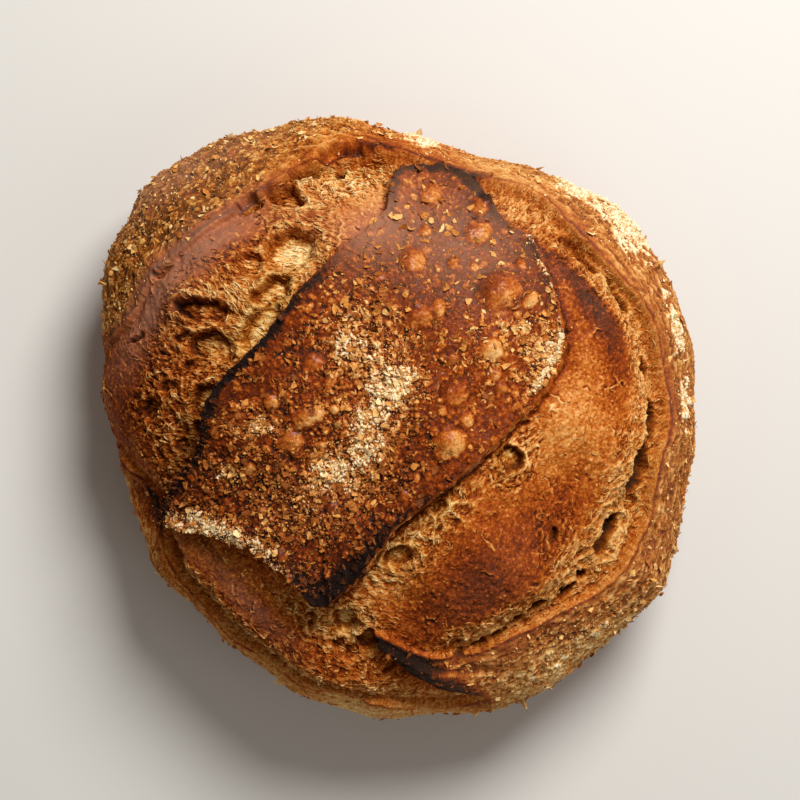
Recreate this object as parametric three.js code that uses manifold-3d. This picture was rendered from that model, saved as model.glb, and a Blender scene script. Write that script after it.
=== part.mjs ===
// Sourdough loaf: a free-form hearth loaf that opened along curved cuts in the oven.
// Millimetres, +Z up. The loaf rests on the flat of its bottom crust at z = 0, with the
// origin under the middle of its outline.
//
// The whole crust is a function of one flat coordinate, the "spread" position of a point:
// over the dome it is the plan position, past the widest line it runs on outward by the
// distance down the flank, and then by the distance in under the bottom. Every feature of
// the crust (the plate, the collar, ropes, pockets, blisters) is placed in that coordinate.

import * as THREE from 'three';
import { mergeVertices } from 'three/addons/utils/BufferGeometryUtils.js';
import Module from 'manifold-3d';

// ---- driving dimensions -------------------------------------------------------------------

const DOME_TOP = 99;          // height of the smooth dome, before ears and blisters
const WIDEST_HEIGHT = 38;     // height of the loaf's widest line
const DOME_SQUARENESS = 2.05; // superellipse exponent of the dome, 2 would be an ellipse
const BASE_SHARE = 0.8;       // radius of the flat bottom as a share of the outline's radius
const FLANK_SPREAD = 44;      // spread distance from the widest line down to the bottom edge
const MEAN_RADIUS = 113;      // mean radius of the outline, used to space the mesh rings

const DOME_STEP = 4.6;        // spacing of the mesh points over the dome
const FLANK_STEP = 5.8;       // down the flank
const BASE_STEP = 13;         // under the flat bottom
const EDGE_STEP = 3.8;        // and along the edge of an ear
const FOOT_STEP = 2.7;        // distance from an ear's edge to its foot
const EAR_GAP = 2;            // least distance between points along ears and feet
const FIELD_GAP = 3.3;        // least distance of the other points from those
const MESH_SHAKE = 0.02;      // keeps four points off one circle when they are joined
const MESH_SEED = 411;
const FRAME_REACH = 100;      // corners of the triangle round all others, in mean radii

// Widest outline seen from above, anticlockwise from +X: an uneven round with a blunt corner
// at the back left.
const OUTLINE = [
  [112.5, -0.5], [107.5, 37.5], [95, 65.5], [76, 82.5], [45.5, 94], [16, 103.5], [-5, 109.5],
  [-25, 112], [-54, 109], [-73.5, 99.5], [-96, 86], [-103, 73], [-110.5, 53.5], [-111, 27.5],
  [-108.5, -0.5], [-94, -45], [-89.5, -57.5], [-72, -75.5], [-55.5, -90.5], [-38, -102.5],
  [-9.5, -111], [10.5, -112], [29, -109.5], [60.5, -97.5], [78, -85.5], [98.5, -61], [107.5, -33],
];

// Edge of the plate of first crust that stands proud between the cuts, clockwise, each point
// with the height of the ear there: x, y, ear.
const PLATE_EDGE = [
  [-0.5, 87, 5], [11.5, 91, 5], [24.5, 87, 7], [37.5, 72, 3.5], [48, 65, 2], [56, 40.5, 3],
  [58.5, 24.5, 2], [52, 10.5, 2.5], [32.5, -9.5, 5], [16.5, -23.5, 7.5], [-2, -38.5, 8],
  [-13, -53.5, 8], [-26.5, -64.5, 7], [-37, -55, 4.5], [-57.5, -44, 3], [-84, -34.5, 5],
  [-68.5, -10.5, 8], [-60.5, 8.5, 10], [-44, 27.5, 10], [-30.5, 47, 7], [-13, 65.5, 2.5],
  [-2.5, 77, 3],
];

// Inner edge of the collar of outer crust, clockwise, with a tongue that reaches in at the
// front: x, y, ear.
const COLLAR_EDGE = [
  [-101.5, 36, 1], [-87, 53.5, 1.5], [-67.5, 71, 2.5], [-42.5, 88, 2.5], [-28.5, 95, 2.5],
  [-12, 101, 3], [1, 99.5, 2.5], [15.5, 95, 2], [38.5, 86, 2], [53, 80.5, 2], [73.5, 62, 2.5],
  [87.5, 46.5, 3], [97, 25, 3], [100.5, 1.5, 2], [94, -22, 2.5], [90.5, -41, 2.5],
  [73.5, -62.5, 2.5], [44, -78, 2.5], [24, -87, 1.5], [8.5, -87, 0.5], [-8, -79.5, 2.5],
  [1, -88, 3], [15, -95.5, 3], [33.5, -101.5, 2.5], [19.5, -106.5, 1.5], [1, -106.5, 1.5],
  [-21, -101, 1.5], [-37, -98, 1.5], [-56.5, -84.5, 1.5], [-73.5, -69.5, 1.5], [-85, -52.5, 1.5],
  [-90.5, -37, 1.5], [-98.5, -21.5, 1.5], [-114, 0, 1], [-117, 20, 1],
];

// The crust beside an ear: its height behind the ear, the distance over which the ear sinks
// to that height, and the depth and width of the trough at the ear's foot.
const PLATE_EAR = { level: 1.5, back: 9, trough: 2.5, foot: 7 };
const COLLAR_EAR = { level: 0.5, back: 14, trough: 1.8, foot: 6 };
const EAR_OVERHANG = 0.3;     // how far an ear leans over its trough, as a share of its height

// Ropes (height over zero) and grooves (below zero) that run along a line.
const LINES = [
  { // rope of smooth crust along the front left
    points: [[-85.5, -41], [-76, -53], [-63, -68], [-50, -80.5], [-31, -90], [-12, -98]],
    height: 3.2,
    halfWidth: 6,
  },
  { // groove between that rope and the collar
    points: [[-81, -55], [-72, -66], [-61, -76], [-48, -88], [-34, -97], [-15, -104]],
    height: -2.6,
    halfWidth: 4,
  },
  { // deep slot at the left corner of the plate
    points: [[-98, -24.5], [-92.5, -32], [-88.5, -41], [-83, -50]],
    height: -5,
    halfWidth: 4,
  },
  { // trough between the right swelling and the collar
    points: [
      [60.5, 70], [74, 57.5], [84, 45], [91, 28], [95, 10], [94.5, -6], [88, -22],
      [78, -42], [67, -57], [52, -68.5], [36.5, -79], [22, -87],
    ],
    height: -3.6,
    halfWidth: 6,
  },
];

// Broad swellings and hollows of the risen dough: x, y, reach, height.
const SWELLS = [
  [72, 2, 18, 3], [40, -56, 22, 3.5], [-74, 42, 22, 2.5], [-80, 5, 20, 2], [8, 30, 30, 1.5],
  [-52, 62, 16, -2], [-14, 88, 16, -2.5], [-20, -82, 10, -2.5], [-2, -60, 12, -2],
  [-60, -62, 14, 1.5], [-58, 30, 10, -2.5], [-72, -4, 9, -3],
];

// Torn pockets in the opened dough: x, y, half length, half width, turn in degrees, depth.
const POCKETS = [
  [-41, 82, 8.5, 4.4, -8, 4], [-55, 79, 6.5, 3, 25, 3], [-14, 97, 16, 4.5, 4, 4],
  [-39, 62, 11, 8.5, 15, 3.5], [-54, 57, 5.5, 5, 0, 2.5], [-45, 46.5, 9, 5.5, 30, 3.5],
  [-50, 34, 13, 5.5, 52, 3.5], [-69.5, 39.5, 12, 4.5, -5, 3.5], [-66, 26, 10.5, 6.5, -8, 3.2],
  [-69, 6, 8, 6, 60, 3], [-90, 3.5, 4.5, 4.5, 0, 2], [-19, -75, 5.8, 5.8, 0, 3.2],
  [-11, -83, 4.5, 4.5, 0, 3], [67, 62, 10, 3.2, -42, 3], [89, -18, 11.5, 4, 72, 4],
  [77.5, -43, 9, 3.4, 62, 4], [40.5, -14, 5, 5, 0, 3], [1, -50.5, 7, 4.5, 30, 2.5],
  [94.5, -0.5, 8, 2.6, 88, 3.5],
];

// Blisters under the skin of the plate: x, y, radius.
const BLISTERS = [
  [29, 67, 5.2], [36, 46.5, 8], [20, 9.5, 5.2], [7.5, 36, 5], [33.5, 25, 5], [18, -8, 6.4],
  [5.5, 57, 5.5], [-37.5, -7.5, 4.6], [-33, 0, 4.2], [30, 76.5, 4.2], [12, 81, 4.2],
];
const BLISTER_RISE = 0.42;    // height of a blister as a share of its radius

// Slow unevenness of the hand-shaped crust: wavelength, height, direction in degrees, phase.
const WAVES = [
  [61, 0.9, 17, 0.4], [47, 0.7, 83, 1.9], [33, 0.55, 138, 3.1], [26, 0.4, 51, 5.2],
];
const BASE_CALM = 14;         // spread distance above the bottom edge where relief dies out
const CALM_ANGLES = [-36, -27, -18, -9, 0, 9, 18, 27, 36]; // averaged for the bottom's outline

// Large bran flakes baked onto the crust, by field: middle x, y, half spread x, y, count.
const FLAKE_FIELDS = [
  [-44, -26, 32, 20, 20], [-6, -6, 30, 32, 15], [-14, 32, 16, 22, 7], [40, 34, 14, 24, 6],
  [-76, 86, 17, 10, 4],
];
const FLAKE_HALF_SIZE = [2.3, 1.5, 0.8]; // half length, half width and half thickness
const FLAKE_SIZE_SPREAD = 0.2; // how far a flake's size may be off, as a share
const FLAKE_GAP = 6.5;        // least distance between two flakes
const FLAKE_CLEARANCE = 3.5;  // least distance of a flake from an ear's edge
const FLAKE_RISE = 0.1;       // height of a flake's middle over the crust
const FLAKE_TILT = 0.3;       // largest tilt of a flake out of the crust, in radians
const FLAKE_SEED = 20731;
const FLAKE_TRIES = 30;       // places tried for each flake before it is left out

// ---- small helpers ------------------------------------------------------------------------

const TURN = 2 * Math.PI;
const QUARTER_TURN = Math.PI / 2;
const STEPS_PER_SPAN = 8;     // straight steps in each span of a smooth line
const ARC_SAMPLES = 400;      // steps in which the dome's section is measured
const LEAST_RING_POINTS = 6;
const TINY = 1e-6;

// Seeded draw, so that the flakes are the same every time.
function makeRandom(seed) {
  const multiplier = 16807;
  const modulus = 2147483647;
  let state = seed;
  return () => {
    state = (state * multiplier) % modulus;
    return state / modulus;
  };
}

function smoothstep(from, to, value) {
  const share = Math.min(1, Math.max(0, (value - from) / (to - from)));
  return share * share * (3 - 2 * share);
}

// Smooth line through points that are rows of numbers, the third of which may be an ear.
function smoothLine(points, closed) {
  const count = points.length;
  const pick = (index) => (closed
    ? points[(index + count) % count]
    : points[Math.min(count - 1, Math.max(0, index))]);
  const spans = closed ? count : count - 1;
  const line = [];
  for (let span = 0; span < spans; span += 1) {
    const [before, start, end, after] = [-1, 0, 1, 2].map((offset) => pick(span + offset));
    for (let step = 0; step < STEPS_PER_SPAN; step += 1) {
      const t = step / STEPS_PER_SPAN;
      line.push(start.map((value, axis) => 0.5 * (
        2 * value
        + (end[axis] - before[axis]) * t
        + (2 * before[axis] - 5 * value + 4 * end[axis] - after[axis]) * t * t
        + (3 * value - before[axis] - 3 * end[axis] + after[axis]) * t * t * t
      )));
    }
  }
  line.push(closed ? line[0] : points[count - 1]);
  return line;
}

// Nearest place on a line, with the ear height there and the direction to the line's left.
function nearestOnLine(line, x, y) {
  let best = { distance: Infinity };
  for (let index = 0; index + 1 < line.length; index += 1) {
    const [ax, ay, earBefore = 0] = line[index];
    const [bx, by, earAfter = 0] = line[index + 1];
    const dx = bx - ax;
    const dy = by - ay;
    const length = Math.hypot(dx, dy) || TINY;
    const share = Math.min(1, Math.max(0, ((x - ax) * dx + (y - ay) * dy) / length ** 2));
    const distance = Math.hypot(x - ax - dx * share, y - ay - dy * share);
    if (distance < best.distance) {
      best = {
        distance,
        ear: earBefore + (earAfter - earBefore) * share,
        leftX: -dy / length,
        leftY: dx / length,
      };
    }
  }
  return best;
}

function isInside(loop, x, y) {
  let inside = false;
  for (let index = 0; index + 1 < loop.length; index += 1) {
    const [ax, ay] = loop[index];
    const [bx, by] = loop[index + 1];
    if ((ay > y) !== (by > y) && x < ax + ((y - ay) * (bx - ax)) / (by - ay)) {
      inside = !inside;
    }
  }
  return inside;
}

// ---- the smooth loaf ------------------------------------------------------------------------

const outlineByAngle = smoothLine(OUTLINE, true)
  .slice(0, -1)
  .map(([x, y]) => [(Math.atan2(y, x) + TURN) % TURN, Math.hypot(x, y)])
  .sort((a, b) => a[0] - b[0]);

function outlineRadius(angle) {
  const wanted = (angle + TURN) % TURN;
  const count = outlineByAngle.length;
  const found = outlineByAngle.findIndex(([known]) => known > wanted);
  const next = Math.max(0, found);
  const [angleBefore, radiusBefore] = outlineByAngle[(next + count - 1) % count];
  const [angleAfter, radiusAfter] = outlineByAngle[next];
  const gap = (angleAfter - angleBefore + TURN) % TURN;
  const share = ((wanted - angleBefore + TURN) % TURN) / gap;
  return radiusBefore + (radiusAfter - radiusBefore) * share;
}

// Radius of the outline with its corners rounded off, as it is round the bottom edge.
function calmRadius(angle) {
  const radii = CALM_ANGLES.map((degrees) => outlineRadius(angle + THREE.MathUtils.degToRad(degrees)));
  return radii.reduce((sum, radius) => sum + radius, 0) / radii.length;
}

// Height of the dome over its widest line, as a share of its rise.
function domeLift(share) {
  return (1 - Math.min(1, share) ** DOME_SQUARENESS) ** (1 / DOME_SQUARENESS);
}

// Point and outward direction of the smooth loaf at a spread position.
function smoothSurface(x, y) {
  const spread = Math.hypot(x, y);
  const angle = Math.atan2(y, x);
  const radius = outlineRadius(angle);
  const rise = DOME_TOP - WIDEST_HEIGHT;
  const past = Math.max(0, spread - radius);
  let planRadius = spread;
  let height;
  let outward;
  let upward;
  if (past === 0) {
    const share = spread / radius;
    height = WIDEST_HEIGHT + rise * domeLift(share);
    outward = share ** (DOME_SQUARENESS - 1) / radius;
    upward = domeLift(share) ** (DOME_SQUARENESS - 1) / rise;
  } else {
    const baseRadius = BASE_SHARE * calmRadius(angle);
    const tuckIn = radius - baseRadius;
    const bend = QUARTER_TURN * Math.min(1, past / FLANK_SPREAD);
    const underShare = Math.max(0, past - FLANK_SPREAD) / (BASE_SHARE * radius);
    planRadius = (baseRadius + tuckIn * Math.cos(bend)) * Math.max(0, 1 - underShare);
    height = WIDEST_HEIGHT * (1 - Math.sin(bend));
    outward = Math.cos(bend) / tuckIn;
    upward = -Math.sin(bend) / WIDEST_HEIGHT;
  }
  const ahead = new THREE.Vector3(Math.cos(angle), Math.sin(angle), 0);
  const point = ahead.clone().multiplyScalar(planRadius).setZ(height);
  const normal = ahead.clone().multiplyScalar(outward).setZ(upward).normalize();
  return { point, normal, past };
}

// ---- relief of the crust --------------------------------------------------------------------

const plateEdge = smoothLine(PLATE_EDGE, true);
const collarEdge = smoothLine(COLLAR_EDGE, true);
const creases = LINES.map((crease) => ({ ...crease, line: smoothLine(crease.points, false) }));

// Lift of the crust beside an ear, on its high side or in the trough at its foot, and how far
// the crust there leans over the trough.
function besideEar({ distance, ear }, onHighSide, shape) {
  if (!onHighSide) {
    return { lift: -shape.trough * Math.exp(-distance / shape.foot), lean: 0 };
  }
  const fade = Math.exp(-distance / shape.back);
  return { lift: shape.level + (ear - shape.level) * fade, lean: EAR_OVERHANG * ear * fade };
}

// 0 in the middle of a turned ellipse, 1 on its edge.
function ellipseReach(x, y, halfLength, halfWidth, turnDegrees) {
  const turn = THREE.MathUtils.degToRad(turnDegrees);
  const along = (x * Math.cos(turn) + y * Math.sin(turn)) / halfLength;
  const across = (y * Math.cos(turn) - x * Math.sin(turn)) / halfWidth;
  return along * along + across * across;
}

// Lift of the ropes, swells, pockets, blisters and slow waves.
function featureLift(x, y) {
  let lift = 0;
  creases.forEach(({ line, height, halfWidth }) => {
    const { distance } = nearestOnLine(line, x, y);
    lift += height * Math.exp(-((distance / halfWidth) ** 2));
  });
  SWELLS.forEach(([middleX, middleY, reach, height]) => {
    const distance = Math.hypot(x - middleX, y - middleY);
    lift += height * Math.exp(-((distance / reach) ** 2));
  });
  POCKETS.forEach(([middleX, middleY, halfLength, halfWidth, turnDegrees, depth]) => {
    const reach = ellipseReach(x - middleX, y - middleY, halfLength, halfWidth, turnDegrees);
    lift -= depth * Math.max(0, 1 - reach);
  });
  BLISTERS.forEach(([middleX, middleY, radius]) => {
    const reach = ellipseReach(x - middleX, y - middleY, radius, radius, 0);
    lift += BLISTER_RISE * radius * Math.max(0, 1 - reach);
  });
  WAVES.forEach(([length, height, directionDegrees, phase]) => {
    const direction = THREE.MathUtils.degToRad(directionDegrees);
    const along = x * Math.cos(direction) + y * Math.sin(direction);
    lift += height * Math.sin((TURN * along) / length + phase);
  });
  return lift;
}

// Point of the finished crust at a spread position. The plate leans over only where its edge
// faces left, and elsewhere its torn face slopes open.
function crustPoint(x, y) {
  const { point, normal, past } = smoothSurface(x, y);
  const nearPlate = nearestOnLine(plateEdge, x, y);
  const nearCollar = nearestOnLine(collarEdge, x, y);
  const onPlate = nearPlate.distance < TINY || isInside(plateEdge, x, y);
  const onCollar = nearCollar.distance < TINY || !isInside(collarEdge, x, y);
  const plate = besideEar(nearPlate, onPlate, PLATE_EAR);
  const collar = besideEar(nearCollar, onCollar, COLLAR_EAR);
  const plateLean = plate.lean * Math.max(0, -nearPlate.leftX);
  const strength = 1 - smoothstep(FLANK_SPREAD - BASE_CALM, FLANK_SPREAD, past);
  const lift = (plate.lift + collar.lift + featureLift(x, y)) * strength;
  const flatness = Math.max(0, normal.z) * strength;
  point.addScaledVector(normal, lift);
  point.x += (plateLean * nearPlate.leftX - collar.lean * nearCollar.leftX) * flatness;
  point.y += (plateLean * nearPlate.leftY - collar.lean * nearCollar.leftY) * flatness;
  point.z = Math.max(0, point.z);
  return point;
}

// ---- mesh of the loaf -----------------------------------------------------------------------

// Distances over the dome from its top, for growing shares of the outline's radius.
const domeArc = [{ share: 0, length: 0 }];
for (let sample = 1; sample <= ARC_SAMPLES; sample += 1) {
  const share = Math.sin(QUARTER_TURN * (sample / ARC_SAMPLES));
  const last = domeArc[sample - 1];
  const along = (share - last.share) * MEAN_RADIUS;
  const down = (domeLift(last.share) - domeLift(share)) * (DOME_TOP - WIDEST_HEIGHT);
  domeArc.push({ share, length: last.length + Math.hypot(along, down) });
}

function arcAtShare(share) {
  return domeArc.find((entry) => entry.share >= share - TINY).length;
}

// Flat map of a spread position that keeps distances over the crust.
function unrolled(place) {
  const angle = place.angle();
  const radius = outlineRadius(angle);
  const past = Math.max(0, place.length() - radius);
  const over = arcAtShare(Math.min(1, place.length() / radius)) + past;
  return new THREE.Vector2(Math.cos(angle), Math.sin(angle)).multiplyScalar(over);
}

// Spread positions around the loaf at a distance that depends on the outline's radius there.
function ringPlaces(spreadAt, count, offset) {
  const places = [];
  for (let step = 0; step < count; step += 1) {
    const angle = (TURN * (step + offset)) / count;
    const distance = spreadAt(outlineRadius(angle));
    places.push(new THREE.Vector2(Math.cos(angle), Math.sin(angle)).multiplyScalar(distance));
  }
  return places;
}

function pointsAround(radius, step) {
  return Math.max(LEAST_RING_POINTS, Math.round((TURN * radius) / step));
}

// Rings of places over the dome and down the flank, without the flank's lowest ring.
function crustRings() {
  const domeLength = arcAtShare(1);
  const domeRings = Math.round(domeLength / DOME_STEP);
  const rings = [[new THREE.Vector2(TINY, 0)]];
  for (let ring = 1; ring <= domeRings; ring += 1) {
    const { share } = domeArc.find(({ length }) => length >= (domeLength * ring) / domeRings - TINY);
    const count = pointsAround(share * MEAN_RADIUS, DOME_STEP);
    rings.push(ringPlaces((radius) => share * radius, count, (ring % 2) / 2));
  }
  const flankRings = Math.round(FLANK_SPREAD / FLANK_STEP);
  for (let ring = 1; ring < flankRings; ring += 1) {
    const past = (ring / flankRings) * FLANK_SPREAD;
    const count = pointsAround(MEAN_RADIUS, FLANK_STEP);
    rings.push(ringPlaces((radius) => radius + past, count, (ring % 2) / 2));
  }
  return rings.flat();
}

// Even places along an ear's edge, or along its foot at a distance to the line's left.
function placesAlong(edge, toTheLeft) {
  const places = [];
  let ahead = 0;
  for (let index = 1; index < edge.length; index += 1) {
    const start = new THREE.Vector2(...edge[index - 1]);
    const end = new THREE.Vector2(...edge[index]);
    const length = start.distanceTo(end);
    const left = new THREE.Vector2(start.y - end.y, end.x - start.x).setLength(toTheLeft);
    for (; ahead < length; ahead += EDGE_STEP) {
      places.push(start.clone().lerp(end, ahead / length).add(left));
    }
    ahead -= length;
  }
  return places;
}

// Adds the places that keep a distance from all places before them.
function addClear(mesh, places, gap) {
  places.forEach((place) => {
    const flat = unrolled(place);
    if (mesh.flats.every((other) => other.distanceToSquared(flat) > gap ** 2)) {
      mesh.places.push(place);
      mesh.flats.push(flat);
    }
  });
}

// Delaunay triangulation of flat points, each triangle anticlockwise.
function triangulate(points) {
  const far = FRAME_REACH * MEAN_RADIUS;
  const all = points.concat(
    new THREE.Vector2(-far, -far),
    new THREE.Vector2(far, -far),
    new THREE.Vector2(0, far),
  );
  const circled = (a, b, c) => {
    const [pa, pb, pc] = [all[a], all[b], all[c]];
    const ab = pb.clone().sub(pa);
    const ac = pc.clone().sub(pa);
    const twice = 2 * ab.cross(ac);
    const x = (ac.y * ab.lengthSq() - ab.y * ac.lengthSq()) / twice;
    const y = (ab.x * ac.lengthSq() - ac.x * ab.lengthSq()) / twice;
    return { corners: [a, b, c], x: pa.x + x, y: pa.y + y, reach: x * x + y * y };
  };
  let triangles = [circled(points.length, points.length + 1, points.length + 2)];
  points.forEach((point, index) => {
    const rim = new Map();
    triangles = triangles.filter(({ corners, x, y, reach }) => {
      if ((point.x - x) ** 2 + (point.y - y) ** 2 >= reach) return true;
      corners.forEach((from, side) => {
        const to = corners[(side + 1) % 3];
        if (!rim.delete(`${to} ${from}`)) rim.set(`${from} ${to}`, [from, to]);
      });
      return false;
    });
    rim.forEach(([from, to]) => triangles.push(circled(from, to, index)));
  });
  return triangles
    .map(({ corners }) => corners)
    .filter((corners) => corners.every((corner) => corner < points.length));
}

// Triangles between two rings of { first, count } points, the inner of which may be one point.
function joinRings(outer, inner, triangles) {
  const outerSteps = outer.count;
  const innerSteps = inner.count > 1 ? inner.count : 0;
  let i = 0;
  let j = 0;
  while (i < outerSteps || j < innerSteps) {
    const here = outer.first + (i % outer.count);
    const there = inner.first + (j % inner.count);
    const stepOuter = j >= innerSteps
      || (i < outerSteps && (i + 1) / outer.count < (j + 1) / inner.count);
    if (stepOuter) {
      triangles.push([here, there, outer.first + ((i + 1) % outer.count)]);
      i += 1;
    } else {
      triangles.push([here, there, inner.first + ((j + 1) % inner.count)]);
      j += 1;
    }
  }
}

// Spread places of all mesh points, and the triangles between them. Points lie along each
// ear and its foot, so that both are clean lines.
function crustMesh() {
  const mesh = { places: [], flats: [] };
  const rimCount = pointsAround(MEAN_RADIUS, FLANK_STEP);
  const rim = ringPlaces((radius) => radius + FLANK_SPREAD, rimCount, 0);
  const ears = [placesAlong(plateEdge, 0), placesAlong(collarEdge, 0)].flat();
  const feet = [placesAlong(plateEdge, FOOT_STEP), placesAlong(collarEdge, -FOOT_STEP)].flat();
  addClear(mesh, rim, TINY);
  addClear(mesh, ears, EAR_GAP);
  addClear(mesh, feet, EAR_GAP);
  addClear(mesh, crustRings(), FIELD_GAP);
  const random = makeRandom(MESH_SEED);
  const shaken = mesh.flats.map(({ x, y }) => (
    new THREE.Vector2(x + MESH_SHAKE * random(), y + MESH_SHAKE * random())
  ));
  const triangles = triangulate(shaken);

  let last = { first: 0, count: rimCount };
  const baseRadius = BASE_SHARE * MEAN_RADIUS;
  const baseRings = Math.round(baseRadius / BASE_STEP);
  for (let ring = 1; ring <= baseRings; ring += 1) {
    const share = ring / baseRings;
    const count = ring < baseRings ? pointsAround(baseRadius * (1 - share), BASE_STEP) : 1;
    const spreadAt = (radius) => radius * (1 + BASE_SHARE * share) + FLANK_SPREAD;
    const next = { first: mesh.places.length, count };
    mesh.places.push(...ringPlaces(spreadAt, count, 0));
    joinRings(last, next, triangles);
    last = next;
  }
  return { places: mesh.places, triangles };
}

function crustGeometry() {
  const { places, triangles } = crustMesh();
  const geometry = new THREE.BufferGeometry();
  geometry.setFromPoints(places.map(({ x, y }) => crustPoint(x, y)));
  geometry.setIndex(triangles.flat());
  return geometry;
}

// ---- bran flakes ----------------------------------------------------------------------------

// Places of the large flakes, seeded, on the crust and clear of the ears and of each other.
function flakePlaces(random) {
  const placed = [];
  FLAKE_FIELDS.forEach(([middleX, middleY, halfX, halfY, count]) => {
    for (let flake = 0; flake < count; flake += 1) {
      for (let attempt = 0; attempt < FLAKE_TRIES; attempt += 1) {
        const x = middleX + (2 * random() - 1) * halfX;
        const y = middleY + (2 * random() - 1) * halfY;
        const onCrust = isInside(plateEdge, x, y) || !isInside(collarEdge, x, y);
        const clearOfEars = [plateEdge, collarEdge]
          .every((edge) => nearestOnLine(edge, x, y).distance > FLAKE_CLEARANCE);
        const clearOfFlakes = placed.every((other) => Math.hypot(x - other.x, y - other.y) > FLAKE_GAP);
        if (onCrust && clearOfEars && clearOfFlakes) {
          placed.push({ x, y });
          break;
        }
      }
    }
  });
  return placed;
}

// A flake is a thin lozenge that lies in the crust, turned and tilted at random.
function flakeGeometry({ x, y }, random) {
  const middle = crustPoint(x, y);
  const alongX = crustPoint(x + 1, y).sub(middle);
  const alongY = crustPoint(x, y + 1).sub(middle);
  const normal = alongX.clone().cross(alongY).normalize();
  const spin = random() * TURN;
  const tilt = (2 * random() - 1) * FLAKE_TILT;
  const size = 1 + (2 * random() - 1) * FLAKE_SIZE_SPREAD;
  const stand = new THREE.Quaternion().setFromUnitVectors(new THREE.Vector3(0, 0, 1), normal);
  const geometry = new THREE.IcosahedronGeometry(1, 0);
  geometry.scale(...FLAKE_HALF_SIZE.map((half) => half * size));
  geometry.rotateX(tilt);
  geometry.rotateZ(spin);
  geometry.applyQuaternion(stand);
  const seat = middle.addScaledVector(normal, FLAKE_RISE);
  geometry.translate(seat.x, seat.y, seat.z);
  return geometry;
}

// ---- one solid ------------------------------------------------------------------------------

function toSolid(wasm, geometry) {
  geometry.deleteAttribute('normal');
  geometry.deleteAttribute('uv');
  const merged = mergeVertices(geometry);
  return new wasm.Manifold(new wasm.Mesh({
    numProp: 3,
    vertProperties: merged.attributes.position.array,
    triVerts: new Uint32Array(merged.index.array),
  }));
}

function toGeometry(solid) {
  const { vertProperties, triVerts } = solid.getMesh();
  const geometry = new THREE.BufferGeometry();
  geometry.setAttribute('position', new THREE.BufferAttribute(vertProperties, 3));
  geometry.setIndex(new THREE.BufferAttribute(triVerts, 1));
  geometry.computeVertexNormals();
  return geometry;
}

async function loafGeometry() {
  const wasm = await Module();
  wasm.setup();
  const random = makeRandom(FLAKE_SEED);
  let loaf = toSolid(wasm, crustGeometry());
  flakePlaces(random).forEach((place) => {
    loaf = loaf.add(toSolid(wasm, flakeGeometry(place, random)));
  });
  return toGeometry(loaf);
}

const bakedCrust = new THREE.MeshStandardMaterial({ color: 0xa0622f, roughness: 0.7, metalness: 0 });

const sourdoughLoaf = new THREE.Group();
sourdoughLoaf.name = 'sourdough_loaf';
const loaf = new THREE.Mesh(await loafGeometry(), bakedCrust);
loaf.name = 'loaf';
sourdoughLoaf.add(loaf);

export default sourdoughLoaf;
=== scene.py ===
"""Visual model of the sourdough loaf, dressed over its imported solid.

Shapes are worked out in millimetres, as in the solid's own source, and turned into metres
where a mesh is made.  A "spread" position is the plan position over the dome, and past the
widest line it runs on outward by the distance down the flank and then in under the bottom.
"""

import math
import bpy
import numpy as np
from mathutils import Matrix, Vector
from mathutils.kdtree import KDTree


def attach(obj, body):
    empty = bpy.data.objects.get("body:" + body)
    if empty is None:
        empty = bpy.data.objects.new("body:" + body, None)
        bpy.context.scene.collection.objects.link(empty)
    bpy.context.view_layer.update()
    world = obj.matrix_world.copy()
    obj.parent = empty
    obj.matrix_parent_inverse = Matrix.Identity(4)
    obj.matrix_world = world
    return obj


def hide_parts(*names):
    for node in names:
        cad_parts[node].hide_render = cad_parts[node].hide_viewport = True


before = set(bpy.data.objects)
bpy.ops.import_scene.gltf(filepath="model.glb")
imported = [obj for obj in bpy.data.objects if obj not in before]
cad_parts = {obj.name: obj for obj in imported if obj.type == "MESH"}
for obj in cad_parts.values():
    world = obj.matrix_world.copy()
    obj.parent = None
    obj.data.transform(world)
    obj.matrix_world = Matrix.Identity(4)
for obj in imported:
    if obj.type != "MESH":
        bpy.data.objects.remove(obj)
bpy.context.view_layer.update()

MM = 0.001

# ---- driving dimensions, millimetres: the solid's own, but for the right trough ----------------

DOME_TOP = 99.0           # height of the smooth dome, before any relief
WIDEST_HEIGHT = 38.0      # height at which the loaf is widest
DOME_SQUARENESS = 2.05    # exponent of the dome's profile, 2 being an ellipse
BASE_SHARE = 0.8          # radius of the flat bottom as a share of the outline's
FLANK_SPREAD = 44.0       # spread from the widest line to the edge of the bottom
MEAN_RADIUS = 113.0       # of the outline

# Widest outline seen from above, anticlockwise: x, y.
OUTLINE = [
    (112.5, -0.5), (107.5, 37.5), (95, 65.5), (76, 82.5), (45.5, 94), (16, 103.5), (-5, 109.5),
    (-25, 112), (-54, 109), (-73.5, 99.5), (-96, 86), (-103, 73), (-110.5, 53.5), (-111, 27.5),
    (-108.5, -0.5), (-94, -45), (-89.5, -57.5), (-72, -75.5), (-55.5, -90.5), (-38, -102.5),
    (-9.5, -111), (10.5, -112), (29, -109.5), (60.5, -97.5), (78, -85.5), (98.5, -61),
    (107.5, -33),
]

# Edge of the raised plate, clockwise: x, y, height of the ear.
PLATE_EDGE = [
    (-0.5, 87, 5), (11.5, 91, 5), (24.5, 87, 7), (37.5, 72, 3.5), (48, 65, 2), (56, 40.5, 3),
    (58.5, 24.5, 2), (52, 10.5, 2.5), (32.5, -9.5, 5), (16.5, -23.5, 7.5), (-2, -38.5, 8),
    (-13, -53.5, 8), (-26.5, -64.5, 7), (-37, -55, 4.5), (-57.5, -44, 3), (-84, -34.5, 5),
    (-68.5, -10.5, 8), (-60.5, 8.5, 10), (-44, 27.5, 10), (-30.5, 47, 7), (-13, 65.5, 2.5),
    (-2.5, 77, 3),
]

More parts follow.
